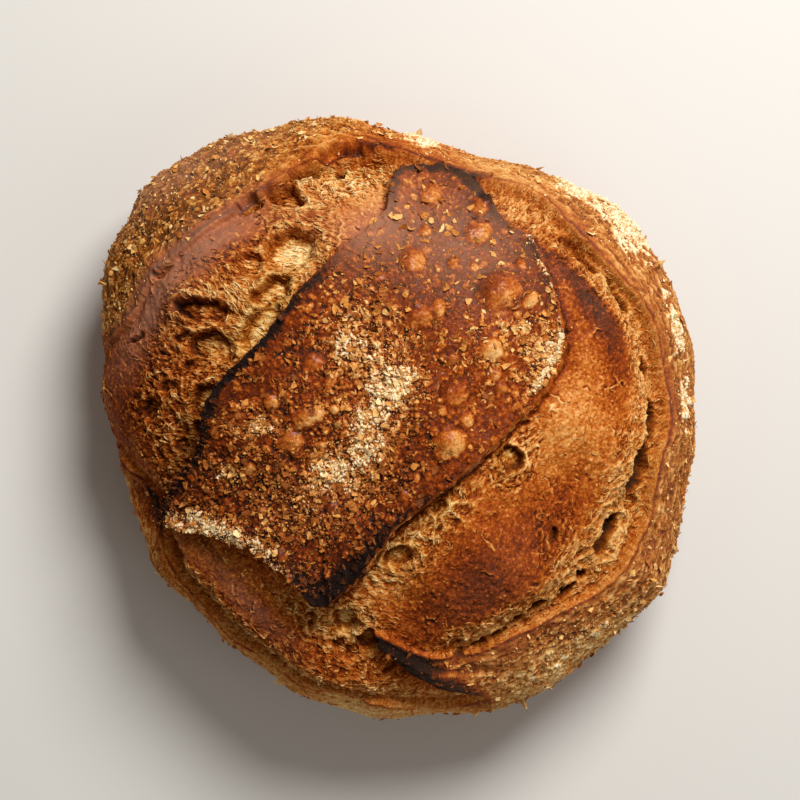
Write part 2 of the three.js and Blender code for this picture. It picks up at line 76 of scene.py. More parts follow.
# Inner edge of the collar of outer crust, clockwise: x, y, height of the ear.
COLLAR_EDGE = [
    (-101.5, 36, 1), (-87, 53.5, 1.5), (-67.5, 71, 2.5), (-42.5, 88, 2.5), (-28.5, 95, 2.5),
    (-12, 101, 3), (1, 99.5, 2.5), (15.5, 95, 2), (38.5, 86, 2), (53, 80.5, 2), (73.5, 62, 2.5),
    (87.5, 46.5, 3), (97, 25, 3), (100.5, 1.5, 2), (94, -22, 2.5), (90.5, -41, 2.5),
    (73.5, -62.5, 2.5), (44, -78, 2.5), (24, -87, 1.5), (8.5, -87, 0.5), (-8, -79.5, 2.5),
    (1, -88, 3), (15, -95.5, 3), (33.5, -101.5, 2.5), (19.5, -106.5, 1.5), (1, -106.5, 1.5),
    (-21, -101, 1.5), (-37, -98, 1.5), (-56.5, -84.5, 1.5), (-73.5, -69.5, 1.5), (-85, -52.5, 1.5),
    (-90.5, -37, 1.5), (-98.5, -21.5, 1.5), (-114, 0, 1), (-117, 20, 1),
]

# Height behind an ear and the distance over which the ear sinks to it, then the depth and
# width of the trough at the ear's foot.
PLATE_EAR = {"level": 1.5, "back": 9.0, "trough": 2.5, "foot": 7.0}
COLLAR_EAR = {"level": 0.5, "back": 14.0, "trough": 1.8, "foot": 6.0}
EAR_OVERHANG = 0.3        # how far an ear leans over its trough, as a share of its height

# Rope, groove, slot and trough: points, height, half width.
ROPE = ([(-85.5, -41), (-76, -53), (-63, -68), (-50, -80.5), (-31, -90), (-12, -98)], 3.2, 6)
ROPE_GROOVE = ([(-81, -55), (-72, -66), (-61, -76), (-48, -88), (-34, -97), (-15, -104)], -2.6, 4)
CORNER_SLOT = ([(-98, -24.5), (-92.5, -32), (-88.5, -41), (-83, -50)], -5, 4)
# Shallower and narrower than the solid's, whose outer wall would show as a broad flat face.
RIGHT_TROUGH = ([
    (60.5, 70), (74, 57.5), (84, 45), (91, 28), (95, 10), (94.5, -6), (88, -22),
    (78, -42), (67, -57), (52, -68.5), (36.5, -79), (22, -87),
], -1.8, 5)

# Broad swellings and hollows: x, y, reach, height.
SWELLS = [
    (72, 2, 18, 3), (40, -56, 22, 3.5), (-74, 42, 22, 2.5), (-80, 5, 20, 2), (8, 30, 30, 1.5),
    (-52, 62, 16, -2), (-14, 88, 16, -2.5), (-20, -82, 10, -2.5), (-2, -60, 12, -2),
    (-60, -62, 14, 1.5), (-58, 30, 10, -2.5), (-72, -4, 9, -3),
]

# Torn pockets: x, y, half length, half width, turn in degrees, depth.
POCKETS = [
    (-41, 82, 8.5, 4.4, -8, 4), (-55, 79, 6.5, 3, 25, 3), (-14, 97, 16, 4.5, 4, 4),
    (-39, 62, 11, 8.5, 15, 3.5), (-54, 57, 5.5, 5, 0, 2.5), (-45, 46.5, 9, 5.5, 30, 3.5),
    (-50, 34, 13, 5.5, 52, 3.5), (-69.5, 39.5, 12, 4.5, -5, 3.5), (-66, 26, 10.5, 6.5, -8, 3.2),
    (-69, 6, 8, 6, 60, 3), (-90, 3.5, 4.5, 4.5, 0, 2), (-19, -75, 5.8, 5.8, 0, 3.2),
    (-11, -83, 4.5, 4.5, 0, 3), (67, 62, 10, 3.2, -42, 3), (89, -18, 11.5, 4, 72, 4),
    (77.5, -43, 9, 3.4, 62, 4), (40.5, -14, 5, 5, 0, 3), (1, -50.5, 7, 4.5, 30, 2.5),
    (94.5, -0.5, 8, 2.6, 88, 3.5),
]

# Blisters: x, y, radius.
BLISTERS = [
    (29, 67, 5.2), (36, 46.5, 8), (20, 9.5, 5.2), (7.5, 36, 5), (33.5, 25, 5), (18, -8, 6.4),
    (5.5, 57, 5.5), (-37.5, -7.5, 4.6), (-33, 0, 4.2), (30, 76.5, 4.2), (12, 81, 4.2),
]
BLISTER_RISE = 0.42       # height of a blister as a share of its radius

# Slow unevenness: wavelength, height, direction in degrees, phase.
WAVES = [(61, 0.9, 17, 0.4), (47, 0.7, 83, 1.9), (33, 0.55, 138, 3.1), (26, 0.4, 51, 5.2)]
# Spread above the edge of the bottom over which the relief dies out.
BASE_CALM = 14.0
# Turns over which the outline is averaged into the calmer edge of the bottom.
CALM_ANGLES = np.radians(range(-36, 37, 9))

# ---- the scene's own dimensions, millimetres ----------------------------------------------------

DOME_GRID = 0.46          # spacing of the mesh over the dome
FLANK_GRID = 1.0          # down the flank
BASE_GRID = 2.6           # under the bottom
POCKET_GAIN = 1.6         # pockets are this many times as deep as their rows say
BLISTER_GAIN = 1.1        # and blisters this many times as high as BLISTER_RISE says
# Share of its height above the table by which relief may bring a place on the flank down.
TABLE_ROOM_SHARE = 0.6
# Least divisor, so that nothing is divided by zero.
TINY = 1e-6

# Small pockets of the bloom that the solid leaves out: x, y, half length, half width, turn,
# depth.
SMALL_POCKETS = [
    (-21, 91, 2.2, 2.2, 0, 4), (-34, 90.5, 7, 2.2, 14, 2.5), (-71.5, -3, 5, 3.5, 20, 2),
    (-21.5, -83.5, 3.2, 3.2, 0, 1.6), (-16.5, -86, 3.4, 3, 0, 1.6), (-3.5, -92, 3.2, 1.8, 20, 1.5),
    (81, 49, 1.8, 5, 20, 3), (84, 43, 2.2, 4.5, 25, 3), (93.5, 19, 1.6, 5, 12, 3),
    (87, -31.5, 3, 3, 0, 1.6), (68.5, -57.5, 2, 2.6, -30, 4), (62, -64, 5, 2, 38, 3),
    (52, -68.5, 4.5, 1.8, 36, 3), (43, -74.5, 4.5, 1.8, 30, 3), (36.5, -79, 4, 1.6, 28, 3),
    (29.5, -83, 3.5, 1.4, 25, 2.5), (22, -87, 3, 1.2, 25, 2), (47, -1.5, 1.6, 1.6, 0, 1.5),
    (56.5, -42.5, 1.6, 4, -10, 2), (15.5, -31.5, 3, 2, 30, 1.2), (-68, -13, 4, 3, 50, 1.5),
    (-85, 53.5, 4, 1.4, 30, 1.5), (-96.5, 30, 5, 1.6, 30, 1.5), (-77, 30, 5, 2, 10, 1.5),
    (-72, 20, 6, 2.4, 0, 1.6), (-83, 12, 4, 3, 20, 1.3), (-80, -10, 4, 2.5, 60, 1.2),
    (-72, -65, 5, 2.2, -50, 2), (-67, -72, 4, 2, -45, 2), (-58.5, -77, 4.5, 2.4, -45, 2.2),
    (-50.5, -83.5, 4, 2, -42, 2), (-42, -89.5, 4, 1.8, -35, 2), (-34, -94, 3.5, 1.8, -32, 2),
    (-26, -98, 3.5, 1.6, -25, 1.8),
]

# Smaller blisters: x, y, radius.
SMALL_BLISTERS = [
    (34.5, 16, 2.4), (37, 11.5, 2.7), (24.5, 0, 3.2), (14.5, 39.5, 3.2), (47, 42, 3.2),
    (20, 56, 2.7), (6.5, -20.5, 2), (-28, 1.5, 3.1), (-22.5, 3.5, 2.3), (-23.5, -31, 2.8),
    (-18, -26, 2), (-27, -9, 2), (-48, -32.5, 2), (-40.5, -47.5, 3), (19, 21.5, 3),
    (-30, 20, 4.2), (-44, 6, 3), (-12, -16, 2.2), (2, -27, 2.4), (27.5, 54.5, 1.6),
    (44, 56, 2.2), (10, 68, 2.6), (-6, 50, 2.2), (-52, -18, 2.6), (-24, 14, 2.4),
]

# How far each part of the crust is baked before anything is added.
BLOOM_BAKE = 0.70
PLATE_BAKE = 0.82
COLLAR_BAKE = 0.60
GOLDEN_BAKE = 0.51        # the tear beside the right collar
PLATE_FACE_BAKE = 0.66    # the torn face under the plate's edge
FLANK_BAKE = 0.66
BOTTOM_BAKE = 0.78

MOTTLE_SEED = 5           # for how far the small blisters are baked
SCATTER_SEED = 11         # for the flakes, crumbs and threads


# ---- small helpers ------------------------------------------------------------------------------

def smoothstep(low, high, value):
    """0 below low, 1 above high, and a smooth rise between them."""
    share = np.clip((value - low) / (high - low), 0.0, 1.0)
    return share * share * (3.0 - 2.0 * share)


def mix(first, second, share):
    """From the first at share 0 to the second at share 1."""
    return first + (second - first) * share


def smooth_line(points, closed, steps=8):
    """Smooth line through rows of numbers, the third of which may be an ear's height."""
    rows = np.array(points, dtype=float)
    count = len(rows)
    line = []
    for span in range(count if closed else count - 1):
        picks = [span - 1, span, span + 1, span + 2]
        if closed:
            picks = [pick % count for pick in picks]
        else:
            picks = [min(count - 1, max(0, pick)) for pick in picks]
        before, start, end, after = rows[picks]
        for t in np.arange(steps) / steps:
            line.append(0.5 * (
                2 * start + (end - before) * t
                + (2 * before - 5 * start + 4 * end - after) * t ** 2
                + (3 * start - before - 3 * end + after) * t ** 3))
    line.append(line[0] if closed else rows[-1])
    return np.array(line)


def near_line(line, x, y):
    """Distance to a line, the value along it there, and the direction to the line's left."""
    best = np.full(x.shape, np.inf)
    value = np.zeros_like(x)
    left_x = np.zeros_like(x)
    left_y = np.zeros_like(x)
    has_value = line.shape[1] > 2
    for start, end in zip(line[:-1], line[1:]):
        dx, dy = end[:2] - start[:2]
        length = math.hypot(dx, dy) or TINY
        share = np.clip(((x - start[0]) * dx + (y - start[1]) * dy) / length ** 2, 0.0, 1.0)
        distance = np.hypot(x - start[0] - dx * share, y - start[1] - dy * share)
        closer = distance < best
        best[closer] = distance[closer]
        left_x[closer] = -dy / length
        left_y[closer] = dx / length
        if has_value:
            value[closer] = start[2] + (end[2] - start[2]) * share[closer]
    return best, value, left_x, left_y


def inside(loop, x, y):
    """Whether each place is inside a closed line."""
    result = np.zeros(x.shape, dtype=bool)
    for (ax, ay), (bx, by) in zip(loop[:-1, :2], loop[1:, :2]):
        if ay == by:
            continue
        crosses = ((ay > y) != (by > y)) & (x < ax + (y - ay) * (bx - ax) / (by - ay))
        result ^= crosses
    return result


def ellipse_reach(x, y, middle_x, middle_y, half_length, half_width, turn_degrees):
    """0 in the middle of a turned ellipse, 1 on its edge."""
    turn = math.radians(turn_degrees)
    dx = x - middle_x
    dy = y - middle_y
    along = (dx * math.cos(turn) + dy * math.sin(turn)) / half_length
    across = (dy * math.cos(turn) - dx * math.sin(turn)) / half_width
    return along ** 2 + across ** 2


def patches(x, y, rows):
    """Sum of soft turned ellipses: x, y, half length, half width, turn, strength."""
    total = np.zeros_like(x)
    for *shape, strength in rows:
        total += strength * np.exp(-ellipse_reach(x, y, *shape))
    return total


# ---- noise --------------------------------------------------------------------------------------

NOISE_GAIN = 1.6          # brings gradient noise to about -1 to 1
OCTAVE_SHARE = 0.55       # strength of an octave as a share of the one before


def scramble(ix, iy, iz, seed):
    """A 32-bit number for each lattice point, the same on every run."""
    bits = (ix.astype(np.uint32) * np.uint32(0x9E3779B1)
            ^ iy.astype(np.uint32) * np.uint32(0x85EBCA77)
            ^ iz.astype(np.uint32) * np.uint32(0xC2B2AE3D)
            ^ np.uint32((seed * 0x27D4EB2F) & 0xFFFFFFFF))
    bits ^= bits >> np.uint32(15)
    bits *= np.uint32(0x2C1B3C6D)
    bits ^= bits >> np.uint32(12)
    bits *= np.uint32(0x297A2D39)
    bits ^= bits >> np.uint32(15)
    return bits


def noise(points, size, seed):
    """Gradient noise, about -1 to 1, with features of the given size in millimetres."""
    places = points / size
    cell = np.floor(places)
    inner = places - cell
    fade = inner ** 3 * (inner * (inner * 6 - 15) + 10)
    cell = cell.astype(np.int64)
    total = np.zeros(len(points))
    for corner in range(8):
        ox, oy, oz = corner & 1, (corner >> 1) & 1, corner >> 2
        bits = scramble(cell[:, 0] + ox, cell[:, 1] + oy, cell[:, 2] + oz, seed)
        gx, gy, gz = (((bits >> np.uint32(shift)) & np.uint32(1023)) / 511.5 - 1.0
                      for shift in (0, 10, 20))
        weight = ((fade[:, 0] if ox else 1 - fade[:, 0])
                  * (fade[:, 1] if oy else 1 - fade[:, 1])
                  * (fade[:, 2] if oz else 1 - fade[:, 2]))
        total += weight * (gx * (inner[:, 0] - ox) + gy * (inner[:, 1] - oy)
                           + gz * (inner[:, 2] - oz))
    return total * NOISE_GAIN


def fractal(points, size, octaves, seed):
    """Noise of the given size with finer and weaker noise on top."""
    total = np.zeros(len(points))
    strength = 1.0
    for octave in range(octaves):
        total += strength * noise(points, size / 2 ** octave, seed + 17 * octave)
        strength *= OCTAVE_SHARE
    return total


def cells(u, v, size, seed):
    """Distances to the nearest and second-nearest seed point, a draw for the nearest, and the
    place relative to it."""
    pu, pv = u / size, v / size
    cu, cv = np.floor(pu).astype(np.int64), np.floor(pv).astype(np.int64)
    level = np.zeros_like(cu)
    first = np.full(u.shape, 9.0)
    second = np.full(u.shape, 9.0)
    draw = np.zeros_like(u)
    off_u = np.zeros_like(u)
    off_v = np.zeros_like(u)
    for du in (-1, 0, 1):
        for dv in (-1, 0, 1):
            bits = scramble(cu + du, cv + dv, level, seed)
            to_u = pu - (cu + du + (bits & np.uint32(0xFFFF)) / 65535.0)
            to_v = pv - (cv + dv + (bits >> np.uint32(16)) / 65535.0)
            distance = np.hypot(to_u, to_v)
            closer = distance < first
            second = np.where(closer, first, np.minimum(second, distance))
            own = scramble(cu + du, cv + dv, level + 7, seed) & np.uint32(4095)
            draw = np.where(closer, own / 4095.0, draw)
            off_u = np.where(closer, to_u, off_u)
            off_v = np.where(closer, to_v, off_v)
            first = np.where(closer, distance, first)
    return first * size, second * size, draw, off_u * size, off_v * size


# ---- the smooth loaf ----------------------------------------------------------------------------

_outline = smooth_line(OUTLINE, True)[:-1]
_outline_angle = np.arctan2(_outline[:, 1], _outline[:, 0])
_outline_order = np.argsort(_outline_angle)
_outline_angle = _outline_angle[_outline_order]
_outline_radius = np.hypot(_outline[:, 0], _outline[:, 1])[_outline_order]


def outline_radius(angle):
    """Distance of the widest line from the middle."""
    return np.interp(angle, _outline_angle, _outline_radius, period=2 * math.pi)


def calm_radius(angle):
    """Radius of the outline without its corners."""
    return np.mean([outline_radius(angle + turn) for turn in CALM_ANGLES], axis=0)


def dome_lift(share):
    """Height of the dome, 1 to 0, at a share of the way out to the outline."""
    inner = 1.0 - np.minimum(1.0, share) ** DOME_SQUARENESS
    return np.maximum(0.0, inner) ** (1.0 / DOME_SQUARENESS)


def smooth_surface(x, y):
    """Points and outward directions of the smooth loaf, and the spread past its widest line."""
    spread = np.hypot(x, y)
    angle = np.arctan2(y, x)
    radius = outline_radius(angle)
    rise = DOME_TOP - WIDEST_HEIGHT
    past = np.maximum(0.0, spread - radius)
    on_dome = past == 0.0
    share = np.minimum(1.0, spread / radius)
    lift = dome_lift(share)
    base_radius = BASE_SHARE * calm_radius(angle)
    tuck_in = radius - base_radius
    bend = (math.pi / 2) * np.minimum(1.0, past / FLANK_SPREAD)
    under = np.maximum(0.0, past - FLANK_SPREAD) / (BASE_SHARE * radius)
    flank_radius = (base_radius + tuck_in * np.cos(bend)) * np.maximum(0.0, 1.0 - under)
    plan = np.where(on_dome, spread, flank_radius)
    height = np.where(on_dome, WIDEST_HEIGHT + rise * lift, WIDEST_HEIGHT * (1 - np.sin(bend)))
    outward = np.where(on_dome, share ** (DOME_SQUARENESS - 1) / radius, np.cos(bend) / tuck_in)
    upward = np.where(on_dome, lift ** (DOME_SQUARENESS - 1) / rise, -np.sin(bend) / WIDEST_HEIGHT)
    length = np.hypot(outward, upward)
    ahead = np.stack([np.cos(angle), np.sin(angle)], axis=1)
    points = np.column_stack([ahead * plan[:, None], height])
    normals = np.column_stack([ahead * (outward / length)[:, None], upward / length])
    return points, normals, past


_arc_share = np.sin(np.linspace(0.0, math.pi / 2, 400))
_arc_steps = np.hypot(np.diff(_arc_share) * MEAN_RADIUS,
                      np.diff(dome_lift(_arc_share)) * (DOME_TOP - WIDEST_HEIGHT))
_arc_length = np.concatenate([[0.0], np.cumsum(_arc_steps)])


def unrolled(x, y):
    """Flat map of spread positions that keeps distances over the crust."""
    spread = np.hypot(x, y)
    angle = np.arctan2(y, x)
    radius = outline_radius(angle)
    over = np.interp(np.minimum(1.0, spread / radius), _arc_share, _arc_length)
    over = over + np.maximum(0.0, spread - radius)
    return over * np.cos(angle), over * np.sin(angle)


# ---- patches of the crust -----------------------------------------------------------------------

# Where the crust is baked darker (over zero) or paler: x, y, half length, half width, turn,
# change.  The scale runs from 0, cream crumb, to 1.2, burnt black.
BAKE_PATCHES = [
    # left bloom: pale strands beside the plate and under the collar
    (-50, 34, 15, 6, 52, -0.20), (-39, 62, 12, 9, 15, -0.20), (-45, 46, 10, 6, 30, -0.26),
    (-14, 86, 28, 8, 0, -0.32), (-34, 76, 14, 8, -20, -0.14), (-72, -2, 16, 5, 62, -0.10),
    (-66, 26, 12, 6, 0, -0.10), (-28, 58, 5, 14, -40, -0.12), (-84, -24, 10, 5, 65, -0.04),
    (-98, 14, 12, 30, 0, 0.12), (-70, 64, 26, 7, 42, 0.18), (-80, 82, 34, 10, 42, 0.13),
    (-92, 36, 16, 8, 62, 0.10),
    # right bloom: dark skins and golden torn bands
    (42, 86, 22, 6, -28, -0.26), (70, 48, 20, 7, -60, 0.32), (58, 62, 12, 6, -40, 0.14),
    (78, 24, 16, 6, -75, 0.14), (54.5, 51, 22, 3.5, -70, 0.20), (62, 46, 16, 2, -65, -0.08),
    (62, -4, 14, 22, 0, -0.17), (32, -58, 26, 15, 42, 0.20), (62, -26, 7, 12, -10, 0.12),
    (88, -8, 7, 26, -10, -0.20), (72, -48, 9, 16, -40, -0.22), (44, -70, 24, 5, 33, -0.20),
    (10, -38, 32, 9, 42, -0.18), (-4, -56, 12, 12, 0, -0.20), (44, -14, 9, 9, 0, -0.10),
    (80, 52, 5, 14, 40, -0.20), (91, 24, 5, 18, 12, -0.20), (8, -74, 16, 10, 20, 0.04),
    # front bloom: golden round the pockets, the rope brown
    (-18, -78, 14, 11, 0, -0.16), (-66, -50, 14, 4, -42, -0.08), (-56, -66, 28, 4, -46, 0.12),
    (-32, -86, 18, 4, -32, 0.08), (-2, -100, 26, 5, 0, -0.12), (-38, -68, 14, 6, -40, -0.08),
    (-62, -76, 28, 4, -45, -0.24), (-34, -95, 20, 4, -32, -0.24),
    # collar and rim: paler at the lower right and at the left, and paler in front as painted light
    (-4, -109, 42, 5, 0, -0.28), (50, -94, 28, 6, 26, -0.20), (-108, 44, 10, 20, 10, -0.08),
    (76, -78, 26, 8, 38, -0.16), (-52, -92, 26, 4, -42, -0.06), (60, -96, 30, 8, 30, -0.14),
    # plate: paler at the right
    (38, 18, 16, 22, 0, -0.07),
    # tongue of the collar
    (4, -88, 10, 5, -40, 0.18), (18, -96, 16, 4, -28, 0.12),
    # plate: darker at the upper right and the lower left
    (18, 62, 26, 22, 0, 0.05), (-40, -30, 34, 18, -20, 0.13), (24, 88, 12, 7, -20, 0.12),
    (2, 88, 10, 8, 0, 0.10),
]

# Burnt rims: x, y, half length, half width, turn, strength, and how far in from the edge they
# reach.
CHAR_PATCHES = [
    (-29, -61, 20, 12, 28, 0.50, 8), (-15, -54, 14, 8, 48, 0.46, 6), (-2, -41, 14, 6, 45, 0.42, 3.5),
    (14, -26, 16, 5, 42, 0.22, 1.5), (-56, 14, 14, 9, 52, 0.58, 1.9), (-42, 31, 16, 9, 52, 0.56, 1.9),
    (-29, 49, 12, 7, 48, 0.26, 3), (-70, -11, 16, 8, 58, 0.45, 2.5), (-82, -32, 9, 5, 50, 0.40, 3),
    (30, 82, 11, 6, -58, 0.56, 2.8), (14, 90, 14, 5, 0, 0.42, 1.6), (0, 84, 5, 9, 0, 0.46, 2.6),
    (-7, -80, 7, 5, -50, 0.42, 4), (6, -91, 12, 6, -40, 0.48, 5), (22, -99, 16, 5, -30, 0.40, 4),
    (-92, -33, 9, 4, -58, 0.42, 4), (-44, -51, 22, 4, -28, 0.12, 2),
]

# Painted shade on the plate's torn face, darker and greyish: x, y, half length, half width, turn,
# strength.
SHADED_FACE_PATCHES = [(28, -20, 15, 6, 42, 1.2), (8, -36, 8, 5, 42, 0.5)]

# Where the skin is duller and greyer, partly flour dust and partly painted sheen: as above.
DUST_AND_SHEEN_PATCHES = [
    (-72, 60, 28, 8, 44, 0.46), (-92, 34, 20, 9, 62, 0.24), (-30, 72, 26, 9, -10, 0.20),
    (-54, -68, 26, 4, -46, 0.24), (72, 46, 18, 6, -60, 0.08), (32, -60, 26, 12, 42, 0.05),
    (-8, 70, 12, 18, -40, 0.30), (24, 64, 26, 20, 0, 0.32), (-86, 46, 26, 8, 55, 0.20),
    (-98, 84, 34, 9, 42, 0.40), (-64, 98, 32, 8, 30, 0.20),
]

# Flour and bran left on the crust: x, y, half length, half width, turn, strength.
FLOUR_PATCHES = [
    (-19, 26, 4, 5, 0, 0.7), (-9, -2, 8, 22, -14, 0.85), (-24, -18, 9, 6, 35, 0.8),
    (1, 12, 8, 8, 0, 0.8), (-61, -19, 5, 4, 0, 0.55), (-48, -3, 8, 5, 0, 0.6),
    (54, 24, 6, 9, 20, 0.6), (-71, -38, 18, 5, -14, 0.72), (-47, -50, 22, 5, -28, 0.66),
    (-36, -32, 20, 14, 0, 0.3), (-12, 32, 14, 16, 0, 0.35), (36, 30, 12, 14, 0, 0.2),
    (9, 104, 8, 4, -20, 0.95), (64, 86, 9, 5, -35, 0.9), (84, 72, 16, 7, -52, 1.2),
    (101.5, 35, 2.8, 13, 12, 1.1), (107, 5, 2.8, 12, 2, 0.9), (72, -78, 18, 6, 38, 0.5),
    (101, -50, 6, 14, 20, 0.35), (48, -96, 18, 5, 26, 0.3), (-92, 66, 16, 10, 50, 0.14),
    (-62, 100, 26, 9, 25, 0.18), (-34, 106, 16, 6, 8, 0.32), (-78, 84, 18, 10, 40, 0.14),
    (-84, -62, 16, 6, -50, 0.3), (-50, -98, 24, 5, -36, 0.3),
]

# Olive and cream crumb deep in the tears: x, y, half length, half width, turn, strength.
CRUMB_PATCHES = [
    (-50, 34, 14, 6, 52, 0.9), (-39, 62, 11, 8, 15, 0.6), (-45, 46, 9, 6, 30, 0.9),
    (-72, -2, 14, 5, 62, 0.9), (-64, 26, 10, 5, 0, 0.5), (-84, -26, 8, 5, 65, 0.5),
    (89, -18, 12, 4, 72, 0.4), (77, -43, 9, 4, 62, 0.3), (52, -68, 20, 3, 34, 0.3),
    (-19, -75, 7, 7, 0, 0.8), (0, -50, 12, 6, 35, 0.6), (40, -16, 6, 6, 0, 0.5),
    (16, -32, 12, 6, 40, 0.5),
    (83, 46, 3, 10, 35, 0.4), (-80, -58, 6, 4, -50, 0.4), (-14, 92, 22, 4, 0, 0.4),
    (-66, -50, 16, 5, -42, 0.5), (-62, -76, 28, 4, -45, 0.4), (-34, -95, 20, 4, -32, 0.4),
    (-38, -68, 12, 6, -40, 0.3), (-84, -38, 8, 10, 20, 0.4),
]

# Where the bloom is torn open rather than risen smooth: x, y, half length, half width, turn,
# strength.
TORN_PATCHES = [
    (-62, 28, 24, 24, 20, 1.2), (-80, 2, 14, 30, 12, 1.1), (-42, 56, 18, 14, 30, 1.0),
    (-16, 88, 34, 7, 0, 0.9), (-20, -78, 18, 9, 0, 0.9), (48, 82, 24, 5, -30, 0.9),
    (86, -20, 7, 26, -20, 0.9), (66, -58, 22, 6, 40, 0.9), (36, -76, 24, 5, 28, 0.8),
    (8, -42, 34, 9, 42, 0.8), (84, 46, 5, 22, 32, 0.9), (94, 6, 4, 22, 4, 0.8),
    (40, -14, 10, 9, 0, 0.7), (-84, -28, 10, 8, 0, 0.5),
    (-76, 66, 30, 8, 42, -1.0), (-96, 34, 22, 9, 62, -1.0), (-58, 72, 12, 6, 30, -0.6),
    (-62, -76, 30, 4, -45, 1.2), (-34, -95, 22, 4, -32, 1.2), (-36, -70, 14, 5, -38, 0.8),
    (-66, -49, 14, 3, -40, 0.2), (-2, -102, 26, 4, 0, 0.7),
]

# Where the torn dough is frayed into ridges, and where it is foamy: as above.
FRAYED_PATCHES = [
    (-62, 46, 12, 6, -30, 1.4), (-58, 30, 6, 8, -20, 0.8), (-82, 30, 9, 6, -30, 0.8),
]
FOAMY_PATCHES = [
    (-84, 2, 16, 20, 10, 1.0), (8, -42, 34, 10, 42, 0.7), (-20, -78, 22, 10, 0, 0.8),
    (60, -62, 24, 6, 40, 0.7),
]

# Directions in which a pocket's steep side lies, for pockets on the left and on the right.
STEEP_SIDE_LEFT = (-0.7, 0.7)
STEEP_SIDE_RIGHT = (0.9, 0.3)

# Smooth skin without bran on the plate: x, y, half length, half width, turn, strength.
SMOOTH_PATCHES = [
    (26, 60, 24, 26, 0, 0.95), (14, 80, 22, 14, 0, 0.7), (22, 2, 12, 16, 20, 0.4),
    (36, 30, 12, 12, 0, 0.3), (-28, -4, 12, 10, 0, 0.3),
]

# Parts of the collar with a smooth lip: x, y, half length, half width, turn, strength.
SMOOTH_LIPS = [
    (-70, 70, 46, 16, 42, 1.2), (-14, 102, 40, 8, 0, 1.0), (70, 72, 34, 10, -45, 0.8),
    (101, 14, 6, 34, 0, 0.8), (40, -84, 30, 6, 30, 0.5),
]

# Rough, branny parts of the collar: x, y, half length, half width, turn, strength.
ROUGH_PATCHES = [
    (-82, 78, 40, 24, 42, 1.2), (-30, 110, 34, 8, 5, 0.6), (66, -86, 44, 14, 34, 1.15),
    (62, 84, 34, 8, -38, 0.4), (104, 10, 8, 50, 0, 0.35),
    (-108, 30, 12, 40, 0, 0.7), (-70, -86, 40, 8, -45, 0.4),
]

# Parts of the plate thick with bran: x, y, half length, half width, turn, strength.
BRANNY_PATCHES = [
    (-44, -22, 40, 24, -20, 0.7), (-18, 22, 30, 22, 50, 0.6), (-2, -10, 16, 30, -20, 0.6),
    (50, 28, 12, 16, 20, 0.7), (-10, 52, 12, 10, 0, 0.4), (32, 30, 14, 20, 0, 0.3),
]

# Where that bran is paler than elsewhere: as above.
PALE_BRAN_PATCHES = [
    (50, 30, 10, 18, 10, 1.0), (-14, 20, 20, 16, 50, 0.6), (-60, -40, 30, 5, -22, 0.8),
    (46, 62, 10, 8, 0, 0.8), (-24, 40, 10, 10, 0, 0.5), (34, 22, 16, 22, 0, 0.6),
]

# Raised line along the plate's right side, within its edge: points, height, half width.
PLATE_SEAM = ([(48, 66), (54.6, 48.7), (57.4, 39.6), (58, 30.5), (55, 20.7), (48, 10)], 0.9, 1.0)

# Where the golden tear beside the collar is widest: x, y, half length, half width, turn, strength.
GOLDEN_PATCHES = [(84, -18, 8, 24, -14, 1.3), (71, -44, 7, 16, -40, 1.1)]

# Thorns of crust on the outline, two long and two small, at the photo's places: x, y, height.
THORNS = [(97, 57.5, 4.5), (46, -103.5, 4.5), (28.5, -108.5, 1.6), (-53.5, 107.8, 1.4)]
THORN_HALF_WIDTH = 0.8

# Crack in the collar, a little outside its edge at the back right: points, depth, half width.
COLLAR_CRACK = ([
    (30, 93), (46, 88), (62, 79), (78, 63.5), (91, 49), (98.5, 34), (102.5, 20), (104, 8),
], -0.7, 0.5)

# How far the floor of each pocket of POCKETS is baked and how much it is crumb.
# Floors of the deep pockets at x 77.5, 89 and 94.5, beside the right trough, are painted shade.
POCKET_TONES = [
    (0.60, 0.2), (0.66, 0.2), (0.58, 0.1), (0.16, 0.3), (0.32, 0.1), (0.34, 0.5), (0.28, 0.7),
    (0.66, 0.1), (0.48, 0.4), (0.46, 0.6), (0.62, 0.4), (0.38, 0.5), (0.60, 0.5), (0.68, 0.3),
    (1.00, 0.7), (0.90, 0.7), (0.50, 0.6), (0.50, 0.6), (1.00, 0.6),
]
SMALL_POCKET_TONE = (0.74, 0.5)

# How far each blister of BLISTERS is baked, in the same order.
BLISTER_BAKE = [0.60, 0.74, 0.80, 0.74, 0.60, 0.56, 0.66, 0.62, 0.60, 0.62, 0.66]


# ---- relief -------------------------------------------------------------------------------------

plate_line = smooth_line(PLATE_EDGE, True)
collar_line = smooth_line(COLLAR_EDGE, True)


